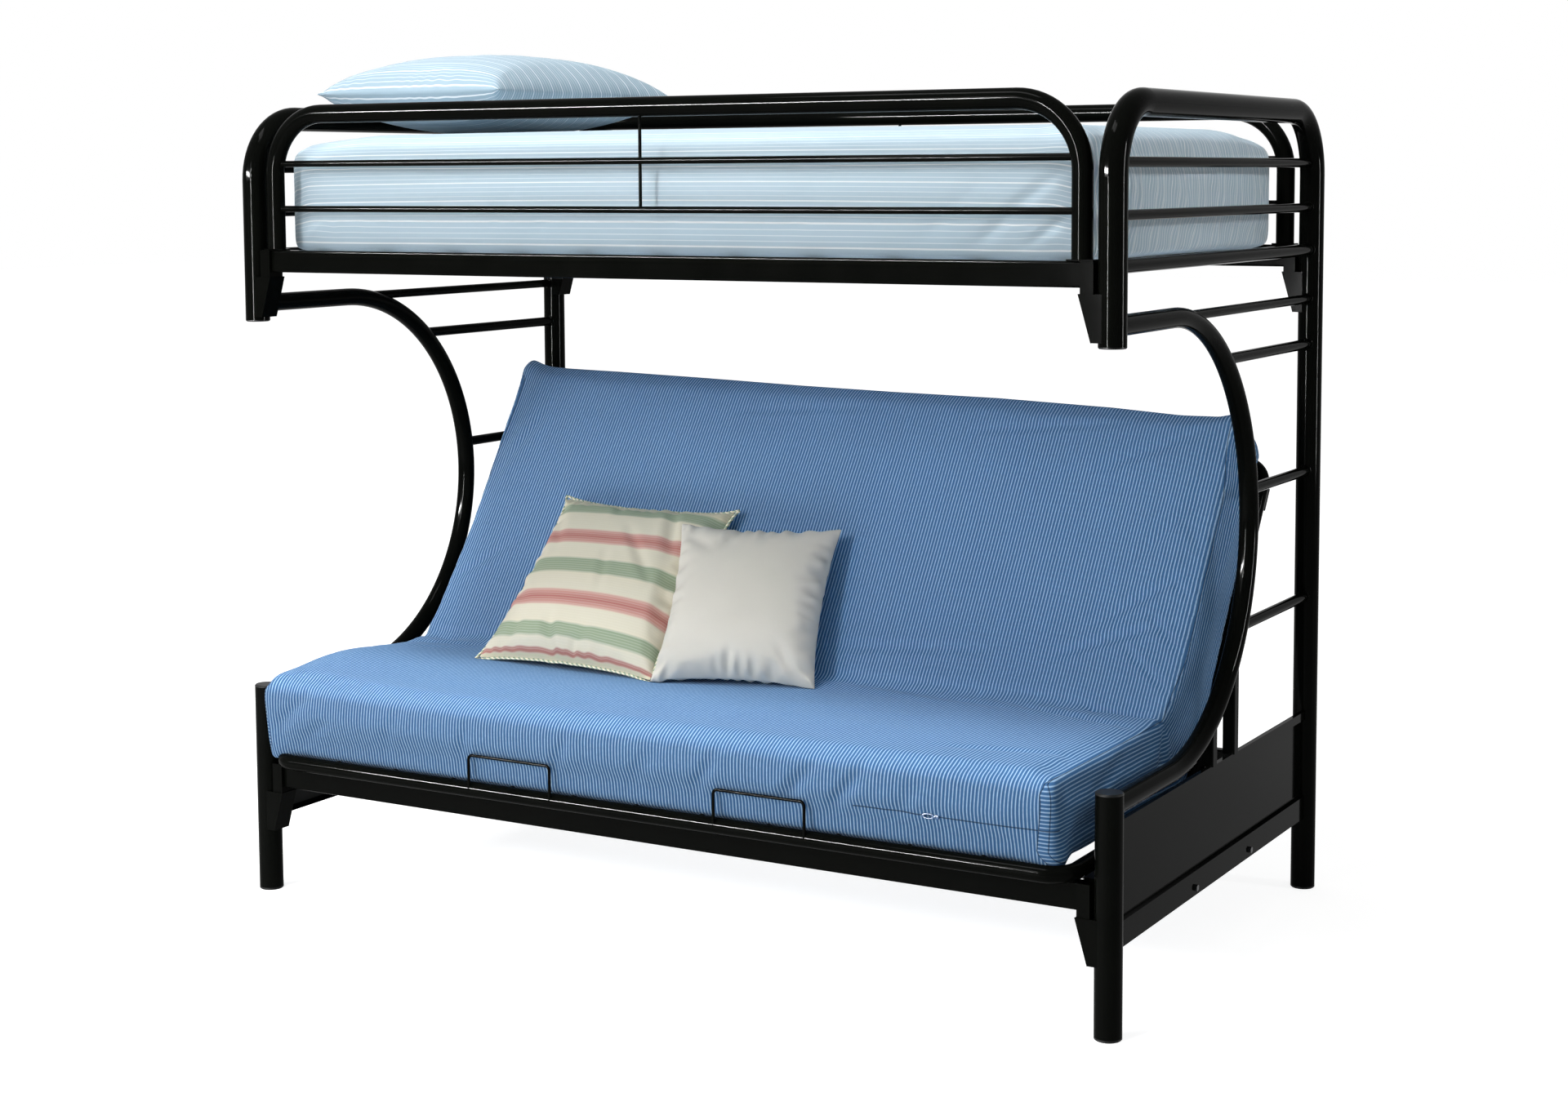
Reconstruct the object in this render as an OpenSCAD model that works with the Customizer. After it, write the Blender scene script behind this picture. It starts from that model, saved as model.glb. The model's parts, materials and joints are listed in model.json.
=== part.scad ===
// Twin over futon bunk bed in bent steel tube. Hoop ends carry the upper bunk and its
// guard rails, C-shaped tubes join the short front legs to the low ones, and a futon
// frame slides out on tracks inside the ends while its hinged back folds flat.
// Millimetres, +Z up. X runs along the bed and -Y is the front, where one sits down.
// The origin is on the floor in the middle of the overall footprint.

/* [Posts and hoops] */
// Distance between the post centres along the bed
span_x = 1930; // [1800:5:2100]
// Distance between the post centres from front to back
span_y = 1075; // [1040:5:1150]
// Outer diameter of the posts and hoops
post_d = 50.8; // [44:0.2:56]
// Wall of the post and hoop tube
post_wall = 1.5; // [1:0.1:3]
// Bend radius of the hoops, at the centre line of the tube
hoop_bend = 130; // [80:5:200]
// Top of the hoops over the underside of the upper rails
hoop_rise = 346; // [310:1:400]
// How far the short front legs of the hoops reach below the upper rails
hoop_drop = 101; // [98:1:125]
// Height of the low front legs, without their caps
front_leg_top = 440; // [425:1:500]
// Thickness of the plastic foot under each leg
foot_t = 5; // [3:0.5:10]

/* [C tubes and rungs] */
// Outer diameter of the C tubes
c_d = 38.1; // [30:0.1:42]
// Wall of the C tubes
c_wall = 1.5; // [1:0.1:3]
// Straight run of each C tube, from the front post centre to its bend
c_straight = 287; // [200:1:320]
// Centre of the upper run of the C tube below the upper rails
c_drop = 66; // [60:1:75]
// Centre of the lower run of the C tube below the top of the low front leg
c_low_drop = 24; // [20:1:40]
// Outer diameter of the two upper rungs in each hoop
hoop_rung_d = 19; // [15:0.5:24]
// Height of the first hoop rung over the end bar
hoop_rung_first = 88; // [80:1:95]
// Step between the hoop rungs
hoop_rung_step = 92; // [80:1:100]
// Outer diameter of the end bar beside the mattress
end_bar_d = 25.4; // [20:0.2:32]
// Height of the end bar over the underside of the upper rails
end_bar_rise = 36; // [20:1:50]
// Outer diameter of the ladder rungs
ladder_rung_d = 22; // [18:0.5:28]
// Lowest ladder rung over the lower run of the C tube
ladder_first = 213; // [180:1:240]
// Step between the ladder rungs
ladder_step = 267; // [230:1:285]
// Wall of all rung tubes
rung_wall = 1.2; // [0.8:0.1:2]

/* [End panels] */
// Lower edge of the end panels over the floor
panel_low = 156; // [130:1:180]
// Height of the end panels
panel_h = 229; // [200:1:235]
// Sheet thickness of the end panels
panel_t = 1.5; // [1:0.1:2.5]
// Height of the folded band along the lower edge
panel_band = 46; // [35:1:60]
// How far the band and the top lip stand out from the panel
panel_fold = 8; // [5:0.5:12]
// Height of the top lip
panel_lip = 17; // [10:1:25]
// Side of the square uprights that brace each C tube on its panel
upright_w = 25; // [18:0.5:30]
// Corner radius of the uprights
upright_corner = 3; // [2:0.5:6]
// Distance of the front upright from the post line in the middle, forwards
upright_front = 42; // [30:1:60]
// Distance between the two uprights of an end
upright_gap = 119; // [95:1:125]

/* [Side rails] */
// Underside of the upper rails over the floor
upper_rail_z = 1323; // [1250:1:1400]
// Height of the upper rails
upper_rail_h = 46; // [40:1:60]
// Underside of the lower rails over the floor
lower_rail_z = 227; // [222:1:235]
// Height of the lower rails
lower_rail_h = 51; // [45:1:60]
// Thickness of the rails from front to back
rail_t = 25; // [20:0.5:30]
// Wall of the rail tubes
rail_wall = 1.5; // [1:0.1:3]
// Corner radius of the rail tubes
rail_corner = 4; // [2:0.5:8]
// Distance from a post centre to the end of a rail
rail_inset = 53; // [48:1:70]
// Length of the wedge on a rail end that drops into its pocket
wedge_h = 60; // [40:1:70]
// Height of the wedge pockets on the posts
pocket_h = 84; // [78:1:88]
// Sheet thickness of the wedges and pockets
bracket_t = 2.5; // [2:0.1:4]

/* [Guard rails] */
// Outer diameter of the guard rail tube
guard_d = 38; // [28:0.5:42]
// Wall of the guard rail tube
guard_wall = 1.4; // [1:0.1:3]
// Distance from a post centre to the guard rail's leg
guard_inset = 57; // [50:1:200]
// Top of the guard rail over the upper rail
guard_rise = 300; // [260:1:360]
// Bend radius of the guard rail, at the centre line of the tube
guard_bend = 125; // [80:5:160]
// Diameter of the two rods across the guard rail
guard_rod_d = 13; // [8:0.5:18]
// Lower rod over the upper rail
guard_rod_low = 86; // [70:1:110]
// Step from the lower rod to the upper one
guard_rod_step = 93; // [80:1:120]
// Diameter of the spindle in the middle
guard_spindle_d = 6.4; // [4:0.2:10]

/* [Upper deck] */
// Number of slats under the upper mattress
deck_slats = 11; // [11:1:16]
// Outer diameter of the deck slats
deck_slat_d = 19; // [15:0.5:25]
// Distance from the post centres to the ends of the upper mattress
bunk_end_gap = 50; // [40:1:120]
// Distance from the post centres to the sides of the upper mattress
bunk_side_gap = 45.5; // [40:0.5:80]
// Thickness of the upper mattress
bunk_mattress_t = 246; // [150:1:260]

/* [Futon frame] */
// Outer diameter of the futon frame's tube
futon_d = 31.8; // [25:0.2:34]
// Wall of the futon frame's tube
futon_wall = 1.5; // [1:0.1:3]
// Distance from a post centre to the seat's side tube
futon_inset = 62; // [60:1:80]
// Corner radius of the futon frame, at the centre line of the tube
futon_bend = 48; // [40:1:100]
// Depth of the seat, from the hinge to its front tube
seat_reach = 615; // [560:1:640]
// Height of the back, from the hinge to its top tube
back_reach = 752; // [600:1:765]
// Front tube of the seat ahead of the front posts' centres
seat_lead = 47; // [44:1:80]
// Number of slats in the seat and in the back
futon_slats = 11; // [10:1:14]
// Diameter of the futon slats
futon_slat_d = 9.5; // [6:0.5:14]
// Diameter of the cross tube near the hinge
cross_d = 19; // [15:0.5:22]
// Diameter of the hinge pins
pin_d = 10; // [8:0.5:12]
// Thickness of the hinge plates
hinge_t = 4; // [3:0.5:5]
// Height of the hinge plates
hinge_h = 30; // [26:1:32]
// Thickness of the plastic glides under the side tubes
glide_t = 4; // [3:0.5:6]
// Width of the two mattress retainers on the front tube
retainer_w = 197; // [120:1:300]
// Distance of the retainers from the middle of the bed
retainer_x = 287; // [200:1:400]
// Height of the retainers over the front tube
retainer_h = 60; // [30:1:70]
// Wire diameter of the retainers
retainer_d = 6; // [4:0.5:8]

/* [Futon motion] */
// Angle of the back over the seat's plane as a sofa, in degrees
sofa_angle = 55; // [50:1:60]
// Travel of the seat from sofa to bed
slide_out = 300; // [200:5:310]

/* [Futon mattress and pillows] */
// How much shorter the futon mattress is than its frame is wide, at each end
futon_soft_inset = 3; // [0:1:60]
// Thickness of the futon mattress
futon_t = 161; // [100:1:180]
// How far the futon mattress lies to the left of the middle
futon_shift = 20; // [0:1:20]
// Length of the bed pillow, across the bed
pillow_l = 660; // [500:5:700]
// Width of the bed pillow
pillow_w = 480; // [400:5:500]
// Thickness of the bed pillow
pillow_t = 172; // [80:1:190]
// Width of the striped throw cushion
striped_w = 450; // [350:5:460]
// Height of the striped throw cushion
striped_h = 440; // [350:5:460]
// Width of the plain throw cushion
plain_w = 370; // [300:5:400]
// Height of the plain throw cushion
plain_h = 360; // [300:5:400]
// Thickness of the throw cushions
throw_t = 120; // [80:1:130]

/* [Hidden] */

// Steps of a full turn on round shapes, and along the wide bends of the C tubes
round_steps = 48;
wide_steps = 240;
$fn = round_steps;
// How far a cut runs past the face that it cuts
over = 1;
// Gap between a soft piece, or a moving one, and what it rests on
rest_gap = 0.3;
// Radial clearance of a pin in its hinge plate
pin_gap = 0.05;
// Gap that lets a wedge drop into its pocket
wedge_gap = 0.3;

// Lengths that follow from the distances between the posts
guard_span = span_x - 2 * guard_inset;
futon_span = span_x - 2 * futon_inset;
futon_x = futon_span - 2 * futon_soft_inset;
bunk_mattress_x = span_x - 2 * bunk_end_gap;
bunk_mattress_y = span_y - 2 * bunk_side_gap;

// Heights and places that follow from the sizes above
half_y = span_y / 2;
hoop_top_c = upper_rail_z + hoop_rise - post_d / 2;
hoop_low_z = upper_rail_z - hoop_drop;
bend_z = hoop_top_c - hoop_bend;
c_top_z = upper_rail_z - c_drop;
c_low_z = front_leg_top - c_low_drop;
c_r = (c_top_z - c_low_z) / 2;
c_mid_z = (c_top_z + c_low_z) / 2;
c_y = c_straight - half_y;
end_bar_z = upper_rail_z + end_bar_rise;
ladder_rungs = 3;
panel_top = panel_low + panel_h;
rail_half = span_x / 2 - rail_inset;
upper_rail_top = upper_rail_z + upper_rail_h;
lower_rail_top = lower_rail_z + lower_rail_h;

// The futon frame slides just over the lower rails; its hinge axis is the local origin
slide_gap = 0.5;
deck_z = lower_rail_top + slide_gap + futon_d / 2;
hinge_y = seat_reach - half_y - seat_lead;
deck_top = futon_d / 2;
plate_gap = 0.5;
back_span = futon_span - 2 * hinge_t - 2 * plate_gap;

// The futon mattress lies on the deck and reaches a little past the front tube
soft_low = deck_top + rest_gap;
front_set = 10;
front_lip = 14;
seat_soft_y = seat_reach + deck_top - front_set;
back_over = 48;
back_soft_y = back_reach + back_over;
futon_crown = 8;
fold_lean = tan(90 - (180 - sofa_angle) / 2);

// The footprint runs from the futon's front to the back of the rear posts
reach_front = seat_soft_y + front_lip - hinge_y;
reach_rear = half_y + post_d / 2;
mid_y = (reach_front - reach_rear) / 2;

black = [0.05, 0.055, 0.055];
satin_black = [0.09, 0.09, 0.09];
zinc = [0.62, 0.63, 0.64];
futon_blue = [0.28, 0.46, 0.69];
sheet_blue = [0.70, 0.81, 0.89];
cream = [0.83, 0.80, 0.70];
off_white = [0.80, 0.77, 0.71];

// Placing

// Puts a right-hand end piece on its end: x = 0 is the post line and +x points outwards
module on_end(side) {
    translate([side * span_x / 2, mid_y, 0])
        if (side < 0) mirror([1, 0, 0]) children();
        else children();
}

// Puts a piece in the bed's frame, measured from the middle of the four posts
module on_bed() {
    translate([0, mid_y, 0]) children();
}

// Puts a half of the futon on its hinge line: local +y leads away from the hinge
module on_seat() {
    translate([0, mid_y + hinge_y, deck_z]) mirror([0, 1, 0]) children();
}

module on_back() {
    translate([0, mid_y + hinge_y, deck_z]) rotate([sofa_angle, 0, 0]) children();
}

module both_sides() {
    children();
    mirror([1, 0, 0]) children();
}

// Shapes shared by several pieces

// A quarter, or other share, of a bent round bar, starting on +y and turning towards +z
module bend_yz(radius, diameter, from, turn, steps = $fn) {
    rotate([90, 0, 90]) rotate([0, 0, from])
        rotate_extrude(angle = turn, $fn = steps) translate([radius, 0])
            circle(d = diameter, $fn = round_steps);
}

module bar_y(diameter, from, to) {
    translate([0, from, 0]) rotate([-90, 0, 0]) cylinder(d = diameter, h = to - from);
}

module bar_x(diameter, length) {
    rotate([0, 90, 0]) cylinder(d = diameter, h = length, center = true);
}

// The outline of a folded sheet: a line of points given a thickness, with mitred folds
function unit(v) = v / norm(v);
function side_of(p, q) = let (d = unit(q - p)) [-d[1], d[0]];
function fold_dir(path, i) =
    i == 0 ? side_of(path[0], path[1]) :
    i == len(path) - 1 ? side_of(path[i - 1], path[i]) :
    let (a = side_of(path[i - 1], path[i]), b = side_of(path[i], path[i + 1])) (a + b) / (1 + a * b);
function sheet_outline(path, t) = concat(
    [for (i = [0:len(path) - 1]) path[i] + fold_dir(path, i) * t / 2],
    [for (i = [len(path) - 1:-1:0]) path[i] - fold_dir(path, i) * t / 2]);

// A flat shape drawn in x and z, run along y between two places
module run_y(from, to) {
    translate([0, to, 0]) rotate([90, 0, 0]) linear_extrude(to - from) children();
}

// A rectangle with round corners, in the middle of its plane
module rounded(a, b, r) {
    square([a - 2 * r, b], center = true);
    square([a, b - 2 * r], center = true);
    for (x = [-1, 1], y = [-1, 1])
        translate([x * (a / 2 - r), y * (b / 2 - r)]) circle(r = r);
}

// End frames

module hoop_bar(diameter, extra) {
    translate([0, -half_y, hoop_low_z - extra]) cylinder(d = diameter, h = bend_z - hoop_low_z + extra);
    translate([0, half_y, foot_t - extra]) cylinder(d = diameter, h = bend_z - foot_t + extra);
    for (side = [0, 1])
        translate([0, (1 - 2 * side) * (half_y - hoop_bend), bend_z])
            bend_yz(hoop_bend, diameter, side * 90, 90);
    translate([0, 0, hoop_top_c]) bar_y(diameter, hoop_bend - half_y, half_y - hoop_bend);
}

module end_hoop() {
    color(black) difference() {
        hoop_bar(post_d, 0);
        hoop_bar(post_d - 2 * post_wall, over);
    }
}

module front_leg() {
    color(black) translate([0, -half_y, foot_t]) difference() {
        cylinder(d = post_d, h = front_leg_top - foot_t);
        translate([0, 0, -over]) cylinder(d = post_d - 2 * post_wall, h = front_leg_top - foot_t + 2 * over);
    }
}

// The solid bars of all four post lines, which cope whatever is welded to them
module post_bars() {
    for (side = [-1, 1])
        translate([0, side * half_y, 0]) cylinder(d = post_d, h = bend_z);
}

module c_runs(diameter) {
    for (z = [c_low_z, c_top_z])
        translate([0, 0, z]) bar_y(diameter, -half_y, c_y);
}

module c_bar(diameter) {
    c_runs(diameter);
    translate([0, c_y, c_mid_z]) bend_yz(c_r, diameter, -90, 180, wide_steps);
}

module c_tube() {
    color(black) difference() {
        c_bar(c_d);
        c_bar(c_d - 2 * c_wall);
        post_bars();
    }
}

module rung(diameter, z, from, to) {
    translate([0, 0, z]) difference() {
        bar_y(diameter, from, to);
        bar_y(diameter - 2 * rung_wall, from - over, to + over);
    }
}

module end_rungs() {
    color(black) difference() {
        union() {
            rung(end_bar_d, end_bar_z, -half_y, half_y);
            for (i = [0, 1])
                rung(hoop_rung_d, end_bar_z + hoop_rung_first + i * hoop_rung_step, -half_y, half_y);
        }
        hoop_bar(post_d, 0);
    }
}

// Where the centre line of the C tube lies at a height, or its bend's middle above that
function c_reach(z) = c_y + sqrt(max(0, c_r * c_r - (z - c_mid_z) * (z - c_mid_z)));
function ladder_z(i) = c_low_z + ladder_first + i * ladder_step;

module ladder() {
    color(black) difference() {
        union() {
            for (i = [0:ladder_rungs - 1])
                rung(ladder_rung_d, ladder_z(i), c_reach(ladder_z(i)), half_y);
            rung(hoop_rung_d, c_top_z, c_y, half_y);
        }
        c_bar(c_d);
        post_bars();
    }
}

// A folded sheet between the front leg and the rear post
panel_return = 10;
band_slope = 4;
panel_path = [
    [-panel_return, panel_low], [panel_fold, panel_low], [panel_fold, panel_low + panel_band],
    [0, panel_low + panel_band + band_slope], [0, panel_top], [panel_fold, panel_top],
    [panel_fold, panel_top - panel_lip]
];

bolt_rise = 14;
bolt_z = panel_low + bolt_rise;
bolt_d = 8;
bolt_front = -132;
bolt_pitch = 303;
bolt_gap = 0.3;
bolt_head_w = 13;
bolt_head_h = 5;
nut_h = 6.5;
bolt_ys = [bolt_front, bolt_front + bolt_pitch];

// Runs its children out along +x at each bolt of an end
module at_bolts() {
    for (y = bolt_ys) translate([0, y, bolt_z]) rotate([0, 90, 0]) children();
}

module bolt_holes() {
    at_bolts() cylinder(d = bolt_d + 2 * bolt_gap, h = 2 * (panel_fold + panel_return), center = true);
}

module end_panel() {
    color(black) difference() {
        run_y(-half_y, half_y) polygon(sheet_outline(panel_path, panel_t));
        post_bars();
        bolt_holes();
    }
}

// Two square tubes that stand on the panel and brace the C tube
upright_in = upright_w - 2 * rung_wall;

module uprights() {
    for (i = [0, 1])
        translate([0, i * upright_gap - upright_front, 0])
            color(black) difference() {
                translate([0, 0, panel_top + panel_t / 2])
                    linear_extrude(c_r) rounded(upright_w, upright_w, upright_corner);
                translate([0, 0, panel_top - over]) linear_extrude(c_r + 2 * over)
                    rounded(upright_in, upright_in, upright_corner - rung_wall);
                translate([0, upright_front - i * upright_gap, 0]) c_bar_and_above();
            }
}

// The C tube's solid bar with all that lies inside the curve of the C
module c_bar_and_above() {
    c_bar(c_d);
    translate([0, c_y, c_mid_z]) rotate([0, 90, 0])
        cylinder(r = c_r, h = 2 * c_d, center = true, $fn = wide_steps);
}

// The track that carries the seat's glides, bolted behind the panel's lower band
track_t = 2;
track_end_gap = 32;
track_ledge = 73;
track_top = deck_z - futon_d / 2 - glide_t - rest_gap;
track_face = panel_fold - (panel_t + track_t) / 2;
track_back = -(panel_t + track_t) / 2;
track_lift = 6;
track_jog = 10;
track_path = [
    [track_face, panel_low + panel_t / 2 + track_lift], [track_face, panel_low + panel_band - track_jog],
    [track_back, panel_low + panel_band], [track_back, track_top - track_t / 2],
    [-track_ledge, track_top - track_t / 2]
];

module seat_track() {
    track_half = half_y - track_end_gap;
    color(satin_black) difference() {
        run_y(-track_half, track_half) polygon(sheet_outline(track_path, track_t));
        bolt_holes();
    }
}

bolt_head_x = panel_fold + panel_t / 2;
nut_x = track_face - track_t / 2;
bolt_tail = 2;

module track_bolt() {
    translate([0, 0, bolt_head_x]) cylinder(d = bolt_head_w, h = bolt_head_h, $fn = 6);
    translate([0, 0, nut_x - nut_h - bolt_tail])
        cylinder(d = bolt_d, h = bolt_head_x - nut_x + nut_h + bolt_tail);
}

module track_nut() {
    translate([0, 0, nut_x - nut_h]) difference() {
        cylinder(d = bolt_head_w, h = nut_h, $fn = 6);
        translate([0, 0, -over]) cylinder(d = bolt_d + 2 * pin_gap, h = nut_h + 2 * over);
    }
}

module track_bolts() {
    color(satin_black) for (side = [-1, 1]) on_end(side) at_bolts() track_bolt();
}

module track_nuts() {
    color(zinc) for (side = [-1, 1]) on_end(side) at_bolts() track_nut();
}

// Plastic plugs: a flange under or over the tube's end and a stem inside it
plug_stem = 22;
plug_gap = 0.2;
plug_edge = 2;

module tube_plug(flange) {
    stem_d = post_d - 2 * post_wall - 2 * plug_gap;
    rotate_extrude() polygon([
        [0, -flange], [post_d / 2 - plug_edge, -flange], [post_d / 2, plug_edge - flange],
        [post_d / 2, 0], [stem_d / 2, 0], [stem_d / 2, plug_stem], [0, plug_stem]
    ]);
}

module foot_plugs() {
    color(satin_black) for (side = [-1, 1]) on_end(side)
        for (y = [-half_y, half_y]) translate([0, y, foot_t]) tube_plug(foot_t);
}

cap_t = 4;

module leg_caps() {
    color(satin_black) for (side = [-1, 1]) on_end(side)
        translate([0, -half_y, front_leg_top]) mirror([0, 0, 1]) tube_plug(cap_t);
}

hoop_plug_t = 3;

module hoop_plugs() {
    color(satin_black) for (side = [-1, 1]) on_end(side)
        translate([0, -half_y, hoop_low_z]) tube_plug(hoop_plug_t);
}

// Side rails with folded wedge ends, and the pockets on the posts that take them
wedge_near = 28;
wedge_half_y = 20;
pocket_drop = 10;
pocket_slope = 24;
pocket_far = rail_inset + wedge_gap + bracket_t;
wedge_slope = pocket_slope * wedge_h / pocket_h;

// Points and sheets here are measured inwards from a post line, and up from a rail's underside
module from_post() {
    both_sides() translate([span_x / 2, 0, 0]) mirror([1, 0, 0]) children();
}

module wedge_end(rail_h) {
    face = rail_inset - bracket_t / 2;
    cheek = [
        [wedge_near, rail_h], [rail_inset, rail_h], [rail_inset, -pocket_drop],
        [rail_inset - wedge_slope, -pocket_drop - wedge_h], [wedge_near, -pocket_drop - wedge_h]
    ];
    for (y = [-wedge_half_y, wedge_half_y - bracket_t])
        run_y(y, y + bracket_t) polygon(cheek);
    run_y(-wedge_half_y, wedge_half_y) polygon(sheet_outline([
        [face, rail_h], [face, -pocket_drop], [face - wedge_slope, -pocket_drop - wedge_h]
    ], bracket_t));
}

// The rail's outline, drawn in by a wall and run along x
module rail_bar(length, rail_h, wall) {
    translate([0, 0, rail_h / 2]) rotate([90, 0, 90]) linear_extrude(length, center = true)
        rounded(rail_t - 2 * wall, rail_h - 2 * wall, rail_corner - wall);
}

module side_rail(rail_h) {
    color(black) union() {
        difference() {
            rail_bar(2 * rail_half, rail_h, 0);
            rail_bar(2 * (rail_half + over), rail_h, rail_wall);
        }
        from_post() wedge_end(rail_h);
    }
}

module pocket() {
    inner = wedge_half_y + wedge_gap;
    cheek = [
        [0, -pocket_drop], [pocket_far, -pocket_drop],
        [pocket_far - pocket_slope, -pocket_drop - pocket_h], [0, -pocket_drop - pocket_h]
    ];
    wall = pocket_far - bracket_t / 2;
    difference() {
        union() {
            for (y = [-inner - bracket_t, inner]) run_y(y, y + bracket_t) polygon(cheek);
            run_y(-inner - bracket_t, inner + bracket_t) polygon(sheet_outline([
                [wall, -pocket_drop], [wall - pocket_slope, -pocket_drop - pocket_h]
            ], bracket_t));
        }
        translate([0, 0, -pocket_drop - pocket_h - over]) cylinder(d = post_d, h = pocket_h + 2 * over);
    }
}

module rail_pockets(rail_z) {
    color(black) difference() {
        on_bed() for (y = [-half_y, half_y])
            translate([0, y, rail_z]) from_post() pocket();
        for (side = [-1, 1]) on_end(side) c_runs(c_d);
    }
}

module rail_at(side, rail_z, rail_h) {
    on_bed() translate([0, side * half_y, rail_z]) side_rail(rail_h);
}

// Guard rails

guard_foot_x = 50;
guard_foot_t = 3;
guard_top_c = upper_rail_top + guard_rise - guard_d / 2;
guard_bend_z = guard_top_c - guard_bend;
guard_low_z = upper_rail_top + guard_foot_t;

// A quarter bend in the x-z plane, from +x towards +z
module bend_xz(radius, diameter) {
    rotate([90, 0, 0]) rotate_extrude(angle = 90) translate([radius, 0]) circle(d = diameter);
}

module guard_bar(diameter, extra) {
    both_sides() {
        translate([guard_span / 2, 0, guard_low_z - extra])
            cylinder(d = diameter, h = guard_bend_z - guard_low_z + extra);
        translate([guard_span / 2 - guard_bend, 0, guard_bend_z]) bend_xz(guard_bend, diameter);
    }
    translate([0, 0, guard_top_c]) bar_x(diameter, guard_span - 2 * guard_bend);
}

module guard_tube(side) {
    color(black) on_bed() translate([0, side * half_y, 0]) {
        difference() {
            guard_bar(guard_d, 0);
            guard_bar(guard_d - 2 * guard_wall, 0);
        }
        both_sides() translate([guard_span / 2 - guard_foot_x / 2, -rail_t / 2, upper_rail_top])
            cube([guard_foot_x, rail_t, guard_foot_t]);
    }
}

module guard_rods(side) {
    low = upper_rail_top + guard_rod_low;
    color(black) on_bed() translate([0, side * half_y, 0]) difference() {
        union() {
            for (z = [low, low + guard_rod_step])
                translate([0, 0, z]) bar_x(guard_rod_d, guard_span);
            translate([0, 0, low]) cylinder(d = guard_spindle_d, h = guard_top_c - low);
        }
        guard_bar(guard_d, 0);
    }
}

// Upper deck and its bedding

deck_rise = 27;
deck_slat_z = upper_rail_z + deck_rise;
bunk_soft_z = deck_slat_z + deck_slat_d / 2 + rest_gap;
bunk_crown = 10;
bunk_shift = 10;
deck_slat_end = 70;

module deck_slats_set() {
    first = rail_half - deck_slat_end;
    color(satin_black) on_bed() for (i = [0:deck_slats - 1])
        translate([first * (2 * i / (deck_slats - 1) - 1), 0, deck_slat_z]) difference() {
            bar_y(deck_slat_d, rail_t / 2 - half_y, half_y - rail_t / 2);
            bar_y(deck_slat_d - 2 * rung_wall, -half_y, half_y);
        }
}

// Soft blocks. One ring of points for each level of the block: up the lower edge, the
// side and the upper edge, with flat rings closing in on the middle above and below.
corner_steps = 4;
side_steps = 7;

function corner(a, b, r, q, i) =
    let (turn = 90 * (q + i / corner_steps))
    [(q == 0 || q == 3 ? 1 : -1) * (a - r) + r * cos(turn), (q < 2 ? 1 : -1) * (b - r) + r * sin(turn)];
function ring(a, b, r) = [for (q = [0:3]) each concat(
    [for (i = [0:corner_steps]) corner(a, b, r, q, i)],
    let (from = corner(a, b, r, q, corner_steps), to = corner(a, b, r, (q + 1) % 4, 0))
        [for (i = [1:side_steps]) from + (to - from) * i / (side_steps + 1)])];

// Inset and height of each ring, from the middle of the underside to that of the top
flat_shares = [0.8, 0.5, 0.25];
edge_turns = [0, 30, 60, 90];
side_shares = [0.25, 0.5, 0.75];
function levels(half_w, t, low_r, r) = concat(
    [for (s = flat_shares) [s * half_w, 0]],
    [for (turn = edge_turns) [low_r * (1 - sin(turn)), low_r * (1 - cos(turn))]],
    [for (s = side_shares) [0, low_r + s * (t - low_r - r)]],
    [for (i = [3:-1:0]) [r * (1 - sin(edge_turns[i])), t - r * (1 - cos(edge_turns[i]))]],
    [for (i = [2:-1:0]) [flat_shares[i] * half_w, t]]);

// Crowned top, rounded-out sides, a leaning end at the fold and a lip over the front tube
lip_low = 66;
lip_rise = 40;
lip_power = 6;
function soften(p, len_x, len_y, t, crown, bulge, lean, lean_from, lip) = let (
    u = p[0] / (len_x / 2),
    v = p[1] / (len_y / 2),
    h = p[2] / t,
    plump = bulge * sin(180 * h),
    lip_in = min(1, max(0, (p[2] - lip_low) / lip_rise)),
    fold = lean * (p[2] + lean_from),
    y = p[1] + len_y / 2)
    [p[0] + plump * u * (1 - v * v),
     fold + y * (1 - fold / len_y) + (lean == 0 ? plump * v * (1 - u * u) : 0)
         + lip * lip_in * pow(max(0, v), lip_power) * (1 - u * u * u * u),
     p[2] + crown * h * (1 - u * u) * (1 - v * v)];

module soft_block(len_x, len_y, t, low_r, edge_r, corner_r, crown, bulge, lean = 0, lean_from = 0, lip = 0) {
    levels = levels(len_y / 2, t, low_r, edge_r);
    rings = [for (level = levels) let (inset = level[0])
        [for (p = ring(len_x / 2 - inset, len_y / 2 - inset, max(corner_r - inset, rest_gap)))
            soften([p[0], p[1], level[1]], len_x, len_y, t, crown, bulge, lean, lean_from, lip)]];
    n = len(rings[0]);
    last = len(rings) - 1;
    low = soften([0, 0, 0], len_x, len_y, t, crown, bulge, lean, lean_from, lip);
    high = soften([0, 0, t], len_x, len_y, t, crown, bulge, lean, lean_from, lip);
    polyhedron(
        points = concat([for (r = rings) each r], [low, high]),
        faces = concat(
            [for (k = [0:last - 1]) for (i = [0:n - 1])
                [k * n + i, (k + 1) * n + i, (k + 1) * n + (i + 1) % n]],
            [for (k = [0:last - 1]) for (i = [0:n - 1])
                [k * n + i, (k + 1) * n + (i + 1) % n, k * n + (i + 1) % n]],
            [for (i = [0:n - 1]) [(last + 1) * n, i, (i + 1) % n]],
            [for (i = [0:n - 1]) [(last + 1) * n + 1, last * n + (i + 1) % n, last * n + i]]));
}

edge_round = 34;
under_round = 10;
bunk_corner = 40;
futon_corner = 26;
bunk_bulge = 8;
futon_bulge = 10;

module upper_mattress() {
    color(sheet_blue) on_bed() translate([-bunk_shift, -bunk_mattress_y / 2, bunk_soft_z])
        soft_block(bunk_mattress_x, bunk_mattress_y, bunk_mattress_t, under_round, edge_round, bunk_corner,
            bunk_crown, bunk_bulge);
}

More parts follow.
